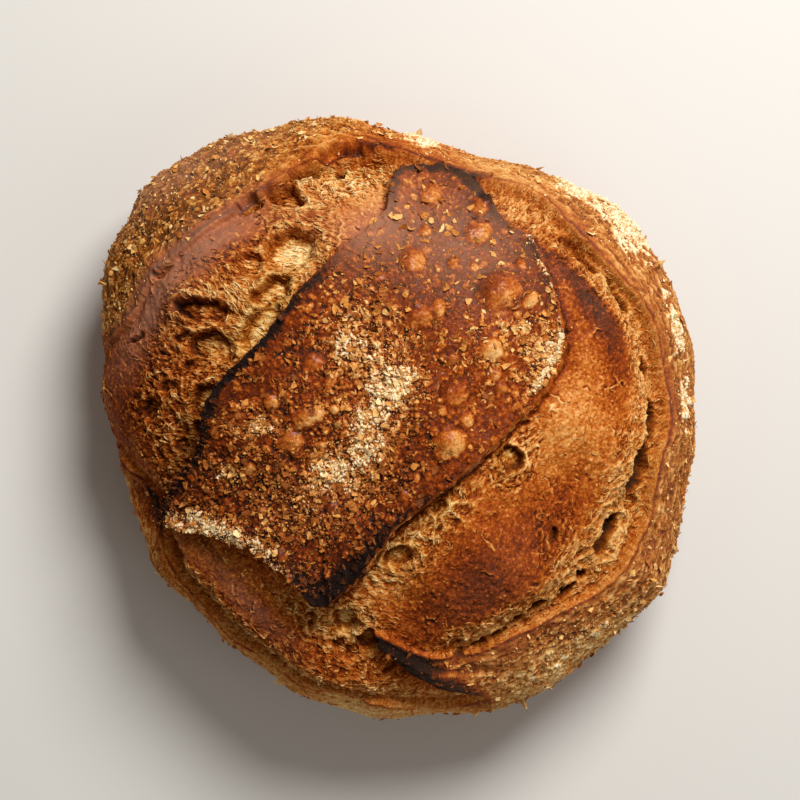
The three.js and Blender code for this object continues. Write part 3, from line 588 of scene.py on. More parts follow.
class Crust:
    """The crust at each spread position, while its relief and colour are built up."""

    def __init__(self, x, y, faces):
        self.x, self.y, self.faces = x, y, faces
        self.smooth, self.normals, self.past = smooth_surface(x, y)
        self.u, self.v = unrolled(x, y)
        self.flat = np.column_stack([self.u, self.v, np.zeros_like(x)])
        self.lift = np.zeros_like(x)
        self.bake = np.zeros_like(x)

    def noise(self, size, seed):
        return noise(self.flat, size, seed)

    def fractal(self, size, octaves, seed):
        return fractal(self.flat, size, octaves, seed)

    def patches(self, rows):
        return patches(self.x, self.y, rows)

    def fibres(self, turn_degrees, length, width, seed):
        """Crests, 0 to 1, of strands that run along a turn."""
        turn = math.radians(turn_degrees)
        bent_u = self.u + 2.2 * self.noise(14.0, seed + 1) + 0.5 * self.noise(4.0, seed + 2)
        bent_v = self.v + 2.2 * self.noise(14.0, seed + 3) + 0.5 * self.noise(4.0, seed + 4)
        along = bent_u * math.cos(turn) + bent_v * math.sin(turn)
        across = bent_v * math.cos(turn) - bent_u * math.sin(turn)
        space = np.column_stack([along / length, across / width, np.zeros_like(along)])
        return np.maximum(0.0, 1.0 - 2.2 * np.abs(noise(space, 1.0, seed)))

    def grains(self, size, radius, share, seed, bend=0.4):
        """Irregular grains, 0 to 1 high, on a share of the cells of that size, and a draw
        for each."""
        bent_u = self.u + bend * self.noise(size * 0.9, seed + 1)
        bent_v = self.v + bend * self.noise(size * 0.9, seed + 2)
        near, _, draw, _, _ = cells(bent_u, bent_v, size, seed)
        own = radius * (0.45 + 0.55 * (draw * 7.3 % 1.0))
        cap = np.sqrt(np.maximum(0.0, 1.0 - (near / own) ** 2))
        return cap * (draw < share), draw * 3.7 % 1.0

    def shards(self, size, gap, share, seed):
        """Flat shards, 0 to 1 high and each tilted its own way, on a share of the cells of that
        size, with a draw for each and how far each place is inside its shard's rim."""
        bent_u = self.u + 0.35 * size * self.noise(0.8 * size, seed + 1)
        bent_v = self.v + 0.35 * size * self.noise(0.8 * size, seed + 2)
        near, second, draw, off_u, off_v = cells(bent_u, bent_v, size, seed)
        inner = smoothstep(0.0, gap, second - near) * smoothstep(size, 0.5 * size, near)
        turn = 2 * math.pi * (draw * 13.7 % 1.0)
        tilt = (off_u * np.cos(turn) + off_v * np.sin(turn)) / size
        high = 0.45 + 0.35 * (draw * 5.3 % 1.0) + 0.7 * tilt
        return np.clip(high, 0.0, 1.2) * inner * (draw < share), draw * 3.7 % 1.0, inner

    def foam(self, size, rim, seed):
        """Thin rims, 0 to 1, between round cells, and the cells' dished floors."""
        bent_u = self.u + 0.28 * size * self.noise(size, seed + 1)
        bent_v = self.v + 0.28 * size * self.noise(size, seed + 2)
        near, second, draw, _, _ = cells(bent_u, bent_v, size, seed)
        edge = np.exp(-((second - near) / rim) ** 2)
        floor = 1.0 - smoothstep(0.0, 0.55 * size, near)
        return edge, floor * (0.3 + 0.7 * draw)


def beside_ear(signed, ear, wall, shape):
    """Lift and lean of the crust beside an ear.  signed is over zero on the high side, and the
    torn face drops over the width of the wall to the trough at the ear's foot."""
    fade = np.exp(-np.maximum(0.0, signed) / shape["back"])
    high = shape["level"] + (ear - shape["level"]) * fade
    low = -shape["trough"] * np.exp(-np.maximum(0.0, -signed - wall) / shape["foot"])
    drop = smoothstep(0.0, 1.0, np.clip(-signed / wall, 0.0, 1.0))
    lean = EAR_OVERHANG * ear * fade * (1.0 - drop)
    return mix(high, low, drop), lean


def mark_regions(crust):
    """Which part of the crust each place is on, and the forms beside the ears."""
    x, y = crust.x, crust.y
    ragged = 0.8 * crust.fractal(6.0, 3, 31)
    far, ear, left_x, left_y = near_line(plate_line, x, y)
    crust.plate_side = np.where(inside(plate_line, x, y), far, -far) + ragged
    crust.face_right = np.maximum(0.0, left_x)
    crust.plate_wall = 1.5 + 2.4 * crust.face_right
    lift, lean = beside_ear(crust.plate_side, ear, crust.plate_wall, PLATE_EAR)
    lean = lean * np.maximum(0.0, -left_x)
    crust.lift += lift
    crust.lean_x = lean * left_x
    crust.lean_y = lean * left_y
    far, ear, left_x, left_y = near_line(collar_line, x, y)
    crust.collar_side = np.where(inside(collar_line, x, y), -far, far)
    crust.collar_side += 0.8 * crust.noise(14.0, 32) + 0.12 * crust.fractal(2.2, 2, 34)
    smooth_here = np.clip(crust.patches(SMOOTH_LIPS), 0.0, 1.0)
    crust.collar_lip = smooth_here * np.exp(-((crust.collar_side - 1.2) / 2.6) ** 2)
    crust.collar_rim = np.exp(-((crust.collar_side - 0.35) / 0.6) ** 2)
    crust.collar_face = (smoothstep(0.1, -0.5, crust.collar_side)
                         * smoothstep(-3.4, -1.8, crust.collar_side))
    lift, lean = beside_ear(crust.collar_side, ear, 1.5, COLLAR_EAR)
    crust.lift += lift
    crust.lean_x -= lean * left_x
    crust.lean_y -= lean * left_y
    crust.on_plate = smoothstep(-0.5, 0.5, crust.plate_side)
    crust.on_collar = smoothstep(-0.5, 0.5, crust.collar_side)
    crust.bloom = (1.0 - crust.on_plate) * (1.0 - crust.on_collar)
    crust.down = smoothstep(0.0, FLANK_SPREAD, crust.past)
    crust.blotch = crust.fractal(15.0, 3, 71)
    crust.coarse = crust.fractal(5.0, 3, 73)
    crust.grain = crust.fractal(1.6, 2, 72)
    crust.floury = np.clip(crust.patches(FLOUR_PATCHES) * (1.0 + 0.5 * crust.fractal(8.0, 2, 74)),
                           0.0, 1.0)
    crust.bake += (BLOOM_BAKE * crust.bloom + PLATE_BAKE * crust.on_plate
                   + COLLAR_BAKE * crust.on_collar)
    level = 1.0 - 0.8 * smoothstep(0.0, 22.0, crust.past + 6.0 * crust.blotch)
    crust.bake += level * crust.patches(BAKE_PATCHES) + 0.06 * crust.blotch
    crust.bake += 0.05 * crust.coarse * level
    crust.golden = np.clip(
        smoothstep(-14.0, -9.5, crust.collar_side + 1.6 * crust.coarse)
        + crust.patches(GOLDEN_PATCHES) * (1.0 + 0.4 * crust.coarse) - 0.1, 0.0, 1.0)
    crust.golden *= smoothstep(8.0, 30.0, x) * crust.bloom
    crust.bake = mix(crust.bake, GOLDEN_BAKE + 0.10 * crust.blotch, 0.85 * crust.golden)


def add_broad_forms(crust):
    """Ropes, grooves, swells, slow waves and the plate's seam."""
    wobble = crust.noise(6.0, 33)
    for points, height, half_width in (ROPE, ROPE_GROOVE, CORNER_SLOT, RIGHT_TROUGH, PLATE_SEAM,
                                       COLLAR_CRACK):
        distance = near_line(smooth_line(points, False), crust.x, crust.y)[0]
        distance = distance + min(1.0, 0.4 * half_width) * wobble
        crust.lift += height * np.exp(-(distance / half_width) ** 2)
    for middle_x, middle_y, height in THORNS:
        distance = np.hypot(crust.x - middle_x, crust.y - middle_y)
        crust.lift += height * np.exp(-(distance / THORN_HALF_WIDTH) ** 2)
    for middle_x, middle_y, reach, height in SWELLS:
        distance = np.hypot(crust.x - middle_x, crust.y - middle_y)
        crust.lift += height * np.exp(-(distance / reach) ** 2)
    for length, height, degrees, phase in WAVES:
        turn = math.radians(degrees)
        along = crust.x * math.cos(turn) + crust.y * math.sin(turn)
        crust.lift += height * np.sin(2 * math.pi * along / length + phase)


def add_pockets(crust):
    """Torn hollows, steep and lipped on one side, with how far each place is from the edge of
    the nearest one and the tone of its floor."""
    bent_x = crust.x + 1.4 * crust.noise(6.0, 41) + 0.45 * crust.fractal(2.4, 2, 45)
    bent_y = crust.y + 1.4 * crust.noise(6.0, 42) + 0.45 * crust.fractal(2.4, 2, 46)
    hollow = np.zeros_like(crust.x)
    lip = np.zeros_like(crust.x)
    shade = np.zeros_like(crust.x)
    floor_bake = np.zeros_like(crust.x)
    crust.floor_crumb = np.zeros_like(crust.x)
    crust.pocket_floor = np.zeros_like(crust.x)
    crust.pocket_gap = np.full_like(crust.x, 40.0)
    tones = POCKET_TONES + [SMALL_POCKET_TONE] * len(SMALL_POCKETS)
    for (*shape, depth), (bake, crumb) in zip(POCKETS + SMALL_POCKETS, tones):
        reach = np.sqrt(ellipse_reach(bent_x, bent_y, *shape))
        steep_x, steep_y = STEEP_SIDE_LEFT if shape[0] < 20 else STEEP_SIDE_RIGHT
        aside = (bent_x - shape[0]) * steep_x + (bent_y - shape[1]) * steep_y
        steep = 0.5 + 0.5 * np.tanh(1.5 * aside / min(shape[2:4]))
        if shape[0] > 20:
            steep = mix(0.5, 1.0, steep)
        bowl = 1.0 - smoothstep(mix(0.35, 0.88, steep), 1.03, reach)
        share = min(1.0, depth / 3.0)
        hollow = np.maximum(hollow, POCKET_GAIN * depth * bowl)
        lip = np.maximum(lip, share * steep * np.exp(-((reach - 1.12) * min(shape[2:4]) / 0.5) ** 2))
        # Painted shade just inside the steep side, where the rim shades the pocket.
        shade = np.maximum(shade, share * steep * np.exp(-((reach - 0.84) / 0.2) ** 2))
        deeper = bowl * share > crust.pocket_floor
        floor_bake = np.where(deeper, bake, floor_bake)
        crust.floor_crumb = np.where(deeper, crumb, crust.floor_crumb)
        crust.pocket_floor = np.maximum(crust.pocket_floor, bowl * share)
        crust.pocket_gap = np.minimum(crust.pocket_gap, (reach - 1.0) * min(shape[2:4]))
    crust.lift += (0.3 * lip - hollow) * (1.0 - crust.on_plate)
    crust.pocket_floor *= crust.bloom
    crust.bake = mix(crust.bake, floor_bake, 0.9 * crust.pocket_floor)
    # Painted shade inside the steep side, and the lip a little paler.
    crust.bake += (0.32 * shade - 0.03 * lip) * crust.bloom


def add_bloom(crust):
    """The torn and risen dough between the plate and the collar."""
    beside_pocket = 1.0 - smoothstep(2.0, 9.0, crust.pocket_gap)
    torn = crust.patches(TORN_PATCHES) + 0.6 * beside_pocket + crust.golden
    torn = np.clip(torn, 0.0, 1.0) * crust.bloom
    torn = torn * (1.0 - 0.85 * crust.pocket_floor) * smoothstep(0.0, -1.0, crust.collar_side)
    skin = np.clip(crust.bloom - torn - crust.pocket_floor, 0.0, 1.0)
    left = smoothstep(10.0, -10.0, crust.x)
    crust.leftness = left

    # Membranes: layers that follow the pockets' edges, each with a thin lip over a steep drop.
    layer = crust.pocket_gap / 3.0 + 1.1 * crust.noise(9.0, 43) + 0.5 * crust.noise(3.2, 44)
    through = layer - np.floor(layer)
    membrane = (1.0 - through) * smoothstep(0.0, 0.10, through)
    lip = np.exp(-((through - 0.16) / 0.11) ** 2)
    ruffle = 0.25 + 0.75 * smoothstep(-0.4, 0.5, crust.noise(5.0, 47))

    # Strands: drawn out across the tear, level with the eye on the left, slanting on the right.
    strand = mix(crust.fibres(42, 6.0, 1.7, 51), crust.fibres(-20, 7.0, 1.7, 61), left)
    thin_strand = mix(crust.fibres(48, 3.6, 0.95, 56), crust.fibres(-8, 5.0, 0.95, 66), left)
    frayed = np.maximum(crust.fibres(-48, 9.0, 2.2, 69), 0.8 * crust.fibres(-42, 6.0, 1.3, 76))
    frayed = frayed * np.clip(crust.patches(FRAYED_PATCHES), 0.0, 1.0)
    rim, dish = crust.foam(6.0, 0.75, 81)
    small_rim, small_dish = crust.foam(2.9, 0.42, 84)
    foamy = np.clip(crust.patches(FOAMY_PATCHES) + 0.7 * crust.golden, 0.0, 1.0)
    sheeted = (1.0 - foamy) * (1.0 - 0.6 * np.minimum(1.0, 2.0 * frayed))
    crust.lift += torn * (sheeted * ruffle * (membrane + 0.25 * lip) + 0.9 * frayed
                          + 0.45 * strand + 0.35 * thin_strand
                          + (0.25 + 0.55 * foamy) * rim - (0.25 + 0.8 * foamy) * dish
                          + 0.2 * small_rim - 0.25 * small_dish - 0.8)
    crust.lift += crust.pocket_floor * (0.30 * strand + 0.40 * thin_strand)

    # Skin: fine grains, shallow wrinkles and a few curled tears.
    speck, speck_draw = crust.grains(1.5, 0.62, 0.75, 91, 0.3)
    wrinkle = crust.fibres(50, 6.0, 1.8, 94)
    contour = crust.noise(11.0, 97) + 0.22 * crust.noise(3.0, 98)
    tear_here = smoothstep(0.16, 0.34, crust.noise(9.0, 99)) * skin
    tear = np.exp(-(contour / 0.05) ** 2) * tear_here
    curl = np.exp(-((contour - 0.09) / 0.05) ** 2) * tear_here
    crust.lift += skin * (0.22 * speck + 0.16 * wrinkle + 0.14 * crust.grain)
    crust.lift += 0.6 * curl - 0.7 * tear + crust.bloom * 0.5 * crust.coarse

    crust.bake -= skin * (mix(0.18, 0.34, left) * speck * speck_draw ** 2 + 0.04 * wrinkle - 0.02)
    crust.bake += 0.08 * tear - 0.14 * curl
    # Painted light and shade: torn lips, ridges and strands paler, dished cells and lower layers
    # darker.
    crust.bake += torn * (0.10 - 0.08 * sheeted * lip * ruffle - 0.14 * frayed - 0.10 * strand
                          - 0.10 * thin_strand + 0.10 * dish + 0.10 * sheeted * through
                          - 0.04 * small_rim)
    crust.bake -= crust.pocket_floor * (0.08 * strand + 0.16 * thin_strand - 0.06)
    crust.torn, crust.skin = torn, skin


def add_blisters(crust):
    """Blisters of the plate, each with its own tone, and painted light: paler towards the lower
    right.
    """
    bent_x = crust.x + 0.9 * crust.noise(6.0, 101)
    bent_y = crust.y + 0.9 * crust.noise(6.0, 102)
    blister = np.zeros_like(crust.x)
    blister_lift = np.zeros_like(crust.x)
    blister_change = np.zeros_like(crust.x)
    random = np.random.default_rng(MOTTLE_SEED)
    tones = BLISTER_BAKE + list(0.5 + 0.35 * random.random(len(SMALL_BLISTERS)))
    for (middle_x, middle_y, radius), tone in zip(BLISTERS + SMALL_BLISTERS, tones):
        reach = ellipse_reach(bent_x, bent_y, middle_x, middle_y, 1.1 * radius, radius, 30)
        cap = np.maximum(0.0, 1.0 - reach)
        share = np.minimum(1.0, 1.5 * cap)
        # Painted light: each blister paler towards its lower right, the side the light shines
        # through.
        lit = (crust.x - middle_x + middle_y - crust.y) / radius
        blister_change += share * (tone - 0.80 - 0.15 * lit)
        blister = np.maximum(blister, share)
        blister_lift += BLISTER_GAIN * BLISTER_RISE * radius * cap ** 1.15
    crust.lift += crust.on_plate * (0.5 * crust.coarse + blister_lift + 0.10 * crust.grain)
    crust.bake += crust.on_plate * blister_change
    crust.blister = blister


def mark_plate_skin(crust):
    """Where the plate is smooth, glossy, bare or thick with bran, which gathers in its patches
    and along the seam."""
    crust.smooth_skin = np.clip(crust.patches(SMOOTH_PATCHES), 0.0, 1.0)
    gathered = crust.patches(BRANNY_PATCHES) + 0.9 * crust.floury - 1.1 * crust.smooth_skin
    seam = near_line(smooth_line(PLATE_SEAM[0], False), crust.x, crust.y)[0]
    grains_here = np.exp(-(seam / 1.8) ** 2) * smoothstep(-0.6, 0.1, crust.noise(7.0, 105))
    crust.floury = np.maximum(crust.floury, 0.9 * grains_here)
    gathered += 1.4 * grains_here
    clumped = 0.08 + 0.92 * smoothstep(0.1, 0.7, 1.1 * crust.fractal(6.0, 3, 106) + gathered)
    crust.bare = (1.0 - 0.85 * crust.blister) * crust.on_plate
    crust.branny = clumped * crust.bare
    crust.gloss = crust.on_plate * (0.05 + 0.10 * crust.smooth_skin + 0.55 * crust.blister)


def add_bran(crust):
    """Small bumps of the plate's skin, and bran on it: large and small shards with grains
    between them."""
    bare = crust.bare
    bubble, bubble_draw = crust.grains(4.6, 2.0, 0.6, 103, 0.6)
    pebble, pebble_draw = crust.grains(2.3, 1.05, 0.75, 107, 0.4)
    big, big_draw, big_inner = crust.shards(3.0, 0.55, 0.75, 111)
    mid, mid_draw, mid_inner = crust.shards(1.9, 0.40, 0.80, 114)
    tiny, tiny_draw = crust.grains(1.0, 0.52, 0.85, 117, 0.3)
    bran = np.maximum(big, 0.75 * mid)
    crust.lift += bare * (0.70 * bubble * (0.3 + 0.7 * bubble_draw) + 0.55 * pebble * pebble_draw)
    crust.lift += crust.branny * (0.8 * bran + 0.25 * tiny - 0.25) + 0.10 * bare * tiny
    crust.bake -= bare * (0.24 * bubble * bubble_draw + 0.14 * pebble * pebble_draw
                          + 0.12 * tiny * tiny_draw - 0.06)
    crust.pale = (0.36 + 0.65 * crust.floury + 0.35 * crust.patches(PALE_BRAN_PATCHES)
                  + 0.45 * crust.smooth_skin)
    # Painted shade in the gaps between the shards.
    crust.bake += crust.branny * (0.18 * (1.0 - big_inner * mid_inner) + 0.03)
    crust.bake -= crust.branny * crust.pale * (0.42 * np.minimum(1.0, 2.0 * big) * big_draw
                                               + 0.30 * np.minimum(1.0, 2.0 * mid) * mid_draw
                                               + 0.12 * tiny * tiny_draw)
    crust.bran = np.minimum(1.0, bran) * crust.branny
    crust.flour = crust.on_plate * crust.floury * smoothstep(0.3, 0.9, bran) * 0.5


def cake_flour(crust):
    """Flour caked in lumps on the plate."""
    lump, _ = crust.grains(1.3, 0.7, 0.9, 119, 0.3)
    cake = smoothstep(0.5, 0.66, crust.floury * (1.0 + 1.1 * crust.fractal(4.0, 3, 121)))
    cake = cake * crust.on_plate
    crust.lift += cake * (0.5 * lump + 0.35)
    # Painted shade between the lumps.
    crust.bake += 0.15 * cake * (1.0 - smoothstep(0.0, 0.4, lump))
    crust.flour = np.maximum(0.95 * cake * smoothstep(0.0, 0.45, lump), crust.flour)
    crust.cake = cake


def tear_plate_edge(crust):
    """The plate's ragged rim and the torn face under it."""
    rim = (np.exp(-np.maximum(0.0, crust.plate_side) / 2.0)
           * smoothstep(-1.0, 0.2, crust.plate_side))
    crust.lift += 0.6 * rim * crust.fractal(2.0, 2, 125)
    face = (smoothstep(0.2, -0.4, crust.plate_side)
            * smoothstep(-1.1, -0.8, crust.plate_side / crust.plate_wall))
    # Painted shade: the torn face at the lower right darker and greyish, with flour and gloss mixed
    # in.
    shaded_face = face * np.clip(crust.patches(SHADED_FACE_PATCHES), 0.0, 1.0)
    crust.bake = mix(crust.bake, PLATE_FACE_BAKE + 0.05 * crust.blotch, 0.6 * face)
    crust.bake += 0.08 * rim + 0.26 * shaded_face
    crust.flour += 0.24 * shaded_face
    crust.gloss += 0.3 * shaded_face


def add_collar(crust):
    """The floury outer crust, rough with bran at the back left, and the flank below it."""
    angle = np.arctan2(crust.v, crust.u)
    far = np.hypot(crust.u, crust.v)
    left_side = smoothstep(20.0, -20.0, crust.x)
    along = angle * MEAN_RADIUS + 3.0 * crust.noise(9.0, 124)
    out = far + 1.6 * crust.noise(5.0, 123)
    streak = fractal(np.column_stack([along / 3.4, out, np.zeros_like(far)]), 2.4, 3, 121)
    streak = streak * (1.0 - 0.7 * smoothstep(0.0, 12.0, crust.past))
    fleck = noise(np.column_stack([along / 2.6, out, np.zeros_like(far)]), 0.9, 122)
    away = smoothstep(2.5, 6.0, crust.collar_side + 0.8 * crust.coarse)
    away = np.maximum(away, smoothstep(0.3, 1.2, crust.collar_side) * (1.0 - crust.collar_lip))
    fleck_here = away * (1.0 - 0.9 * smoothstep(0.0, 6.0, crust.past))
    rough = np.clip(crust.patches(ROUGH_PATCHES) + 0.22, 0.0, 1.0) * crust.on_collar * away
    rough = rough * smoothstep(-0.6, 0.2, crust.blotch + 0.5 * crust.coarse + 0.3)
    big, big_draw, big_inner = crust.shards(3.2, 0.9, 0.6, 131)
    mid, mid_draw, mid_inner = crust.shards(1.7, 0.5, 0.7, 134)
    pit, _ = crust.grains(3.8, 0.9, 0.4, 137, 0.6)
    crust.lift += crust.on_collar * (0.6 * crust.coarse + 0.34 * streak + 0.16 * crust.grain
                                     + 0.22 * fleck * fleck_here)
    crust.bake -= 0.12 * fleck * crust.on_collar * fleck_here
    crust.pale += 0.45 * crust.on_collar
    crust.lift += rough * (0.42 * big + 0.30 * mid - 0.9 * pit - 0.15)
    clump = smoothstep(-0.05, 0.2, 0.6 * streak + 0.7 * crust.coarse + 1.9 * crust.floury - 1.15)
    drift = smoothstep(0.15, 0.5, crust.floury) * crust.on_collar * clump
    lump, _ = crust.grains(1.5, 0.8, 0.9, 139, 0.4)
    crust.lift += drift * (0.25 + 0.3 * crust.coarse + 0.35 * lump)
    # Shards paler, with painted shade in the gaps between them and in the pits.
    crust.bake -= rough * (0.26 * np.minimum(1.0, 2.0 * big) * big_draw
                           + 0.20 * np.minimum(1.0, 2.0 * mid) * mid_draw
                           - 0.08 * (1.0 - big_inner * mid_inner) - 0.30 * pit - 0.10)
    crust.bake -= crust.on_collar * (0.10 * streak - 0.02 * (1.0 - left_side) * away)
    crust.bake += (0.12 * crust.collar_lip + 0.30 * crust.collar_rim) * crust.on_collar
    face_fibre = noise(np.column_stack([angle * MEAN_RADIUS, far / 5.0, np.zeros_like(far)]),
                       1.1, 143)
    crust.lift += 0.30 * face_fibre * crust.collar_face
    crust.bake = mix(crust.bake, 0.60 - 0.16 * face_fibre, 0.6 * crust.collar_face)
    crust.gloss += 0.2 * crust.collar_lip
    dusty = mix(0.20, 0.08, left_side) * smoothstep(0.0, 0.9, streak) * crust.on_collar * away
    drift = drift * (0.28 + 0.72 * smoothstep(0.0, 0.6, lump + 0.5 * crust.coarse))
    crust.flour = np.maximum(crust.flour, drift) + dusty * (1.0 - crust.down) ** 2
    crust.rough = rough


def join_pairs(faces):
    """Each edge of the mesh once, as two arrays of points."""
    ends = np.concatenate([faces[:, [0, 1]], faces[:, [1, 2]], faces[:, [2, 0]]])
    ends = ends[ends[:, 0] < ends[:, 1]]
    return ends[:, 0], ends[:, 1]


def blur(values, pairs, rounds):
    """Values averaged with their neighbours' on the mesh, again and again."""
    one, other = pairs
    count = len(values)
    near = np.bincount(one, minlength=count) + np.bincount(other, minlength=count)
    for _ in range(rounds):
        total = (np.bincount(one, values[other], count) + np.bincount(other, values[one], count))
        values = 0.4 * values + 0.6 * total / near
    return values


def raise_relief(crust):
    """Finished points: the smooth loaf raised by the relief and leant at the ears."""
    kept = 1.0 - smoothstep(FLANK_SPREAD - BASE_CALM, FLANK_SPREAD, crust.past)
    flatness = np.maximum(0.0, crust.normals[:, 2]) * kept
    downward = np.maximum(-crust.normals[:, 2], TINY)
    room = TABLE_ROOM_SHARE * crust.smooth[:, 2] / downward
    raised = np.minimum(crust.lift * kept, room)
    points = crust.smooth + crust.normals * raised[:, None]
    points[:, 0] += crust.lean_x * flatness
    points[:, 1] += crust.lean_y * flatness
    crust.points = points


def shade_relief(crust):
    """Painted light and shade: crests paler and hollows darker, less so beside the ears and pockets.
    """
    pairs = join_pairs(crust.faces)
    near = blur(crust.lift, pairs, 10)
    crest = np.clip(crust.lift - near, -0.6, 0.6)
    wide_crest = np.clip(near - blur(near, pairs, 40), -1.2, 1.2)
    beside = np.maximum(np.exp(-(crust.plate_side / 3.0) ** 2),
                        np.exp(-(crust.collar_side / 3.0) ** 2))
    steady = 1.0 - 0.9 * np.maximum(crust.collar_lip, beside)
    steady = steady * (1.0 - 0.6 * np.exp(-(crust.pocket_gap / 1.5) ** 2) * crust.bloom)
    steady = steady * (1.0 - 0.45 * crust.golden)
    gain = 0.42 + 0.10 * crust.torn
    # Painted highlight on the crests and painted shade in the hollows.
    crust.bake -= (gain * crest + 0.10 * wide_crest * (1.0 - crust.on_plate)) * steady


def burn_rims(crust):
    """Burnt edges of the plate and the collar, with less flour on them."""
    side = np.maximum(crust.plate_side, crust.collar_side)
    side += (0.9 * crust.coarse + 0.45 * crust.grain) * smoothstep(-1.0, 0.6, side)
    char = np.zeros_like(side)
    for *shape, strength, depth in CHAR_PATCHES:
        burnt = strength * np.exp(-ellipse_reach(crust.x, crust.y, *shape))
        char += burnt * (1.0 - smoothstep(0.55 * depth, 1.35 * depth, side))
    char = char * smoothstep(-0.8, 0.2, side) * (1.0 - 0.55 * crust.bran + 0.3 * crust.grain)
    crust.char = np.clip(char, 0.0, 0.55)
    crust.flour *= 1.0 - np.minimum(1.0, 3.0 * crust.char) * np.maximum(0.7, crust.on_collar)
    crust.bake += crust.char + 0.08 * crust.down


def bake_lower_crust(crust):
    """Even colour on the flank and the bottom, and dust under the bottom."""
    below = smoothstep(1.0, 30.0, crust.past + 7.0 * crust.coarse + 5.0 * crust.blotch)
    flank_bake = FLANK_BAKE + 0.10 * crust.blotch + 0.04 * crust.coarse
    crust.bake = mix(crust.bake, flank_bake, 0.8 * below)
    under = smoothstep(FLANK_SPREAD - 3.0, FLANK_SPREAD + 6.0, crust.past)
    bottom_bake = BOTTOM_BAKE + 0.10 * crust.blotch + 0.05 * crust.coarse
    crust.bake = mix(crust.bake, bottom_bake, under)
    crust.bake = np.clip(crust.bake, 0.0, 1.2)
    dust = 0.14 * smoothstep(0.0, 0.8, crust.fractal(14.0, 3, 141))
    crust.flour = np.clip(mix(crust.flour, dust, under), 0.0, 1.0)
    crust.below = below


def tint_crust(crust):
    """How much each place is crumb, dusted and painted with sheen, glossy and fibrous."""
    crumb = crust.patches(CRUMB_PATCHES) * crust.bloom * (1.0 - crust.pocket_floor)
    crumb += crust.floor_crumb * crust.pocket_floor
    crumb += (0.4 + 0.45 * smoothstep(0.0, -40.0, crust.x)) * crust.rough
    front = smoothstep(-30.0, -70.0, crust.y)
    crumb += ((0.40 - 0.26 * front) * crust.on_collar * smoothstep(10.0, 40.0, crust.x)
              * (1.0 - crust.collar_lip))
    crumb += 0.12 * crust.golden * (1.0 - crust.pocket_floor)
    crust.crumb = np.clip(crumb * (1.0 - 0.9 * crust.below), 0.0, 1.0)
    # Flour dust and painted sheen: the skins mixed towards a greyish pink.
    veil = crust.patches(DUST_AND_SHEEN_PATCHES) * (1.0 - crust.pocket_floor) * (1.0 - 0.6 * crust.torn)
    veil = veil * (1.0 - 0.8 * crust.blister) * (1.0 - 0.8 * smoothstep(0.0, 14.0, crust.past))
    crust.veil = np.clip(veil + 0.10 * crust.on_collar * smoothstep(0.0, 40.0, crust.x), 0.0, 0.5)
    crust.gloss = np.clip(crust.gloss + 0.08 * crust.skin, 0.0, 1.0)
    crust.gloss *= 1.0 - 0.8 * crust.below
    crust.gloss *= (1.0 - crust.flour) * (1.0 - np.minimum(1.0, 2.0 * crust.char))
    crust.fibrous = np.clip(crust.torn + crust.pocket_floor, 0.0, 1.0)


def bake_crust(x, y, faces):
    """The crust with all its relief and colour."""
    crust = Crust(x, y, faces)
    mark_regions(crust)
    add_broad_forms(crust)
    add_pockets(crust)
    add_bloom(crust)
    add_blisters(crust)
    mark_plate_skin(crust)
    add_bran(crust)
    cake_flour(crust)
    tear_plate_edge(crust)
    add_collar(crust)
    raise_relief(crust)
    shade_relief(crust)
    burn_rims(crust)
    bake_lower_crust(crust)
    tint_crust(crust)
    return crust


# ---- meshes -------------------------------------------------------------------------------------

def around(radius, step):
    """Number of points on a ring."""
    return max(6, round(2 * math.pi * radius / step))


def ring_plan():
    """Rings from the top to the middle of the bottom: spread on an outline radius r as
    r * share + past, and the number of points."""
    dome_rings = round(_arc_length[-1] / DOME_GRID)
    rings = [(0.0, 0.0, 1)]
    for ring in range(1, dome_rings + 1):
        share = float(np.interp(ring / dome_rings * _arc_length[-1], _arc_length, _arc_share))
        rings.append((share, 0.0, around(share * MEAN_RADIUS, DOME_GRID)))
    flank_rings = round(FLANK_SPREAD / FLANK_GRID)
    for ring in range(1, flank_rings + 1):
        past = ring / flank_rings * FLANK_SPREAD
        grid = mix(DOME_GRID, FLANK_GRID, min(1.0, 4.0 * ring / flank_rings))
        rings.append((1.0, past, around(MEAN_RADIUS, grid)))
    rim = len(rings) - 1
    base_radius = BASE_SHARE * MEAN_RADIUS
    base_rings = round(base_radius / BASE_GRID)
    for ring in range(1, base_rings + 1):
        share = ring / base_rings
        count = 1 if ring == base_rings else around(base_radius * (1 - share), BASE_GRID)
        rings.append((1.0 + BASE_SHARE * share, FLANK_SPREAD, count))
    return rings, rim


def join_rings(first_inner, inner, first_outer, outer):
    """Triangles between two rings, given as arrays of the turns at which their points lie."""
    inner_steps = len(inner) if len(inner) > 1 else 0
    outer_steps = len(outer) if len(outer) > 1 else 0
    inner_ends = np.append(inner[1:], inner[0] + 1.0)[:inner_steps]
    outer_ends = np.append(outer[1:], outer[0] + 1.0)[:outer_steps]
    ends = np.concatenate([inner_ends, outer_ends])
    is_outer = np.concatenate([np.zeros(inner_steps, bool), np.ones(outer_steps, bool)])
    is_outer = is_outer[np.argsort(ends, kind="stable")]
    outer_at = np.cumsum(is_outer) - is_outer
    inner_at = np.cumsum(~is_outer) - ~is_outer
    here = first_inner + inner_at % len(inner)
    there = first_outer + outer_at % len(outer)
    beyond = np.where(is_outer,
                      first_outer + (outer_at + 1) % len(outer),
                      first_inner + (inner_at + 1) % len(inner))
    return np.column_stack([here, there, beyond])


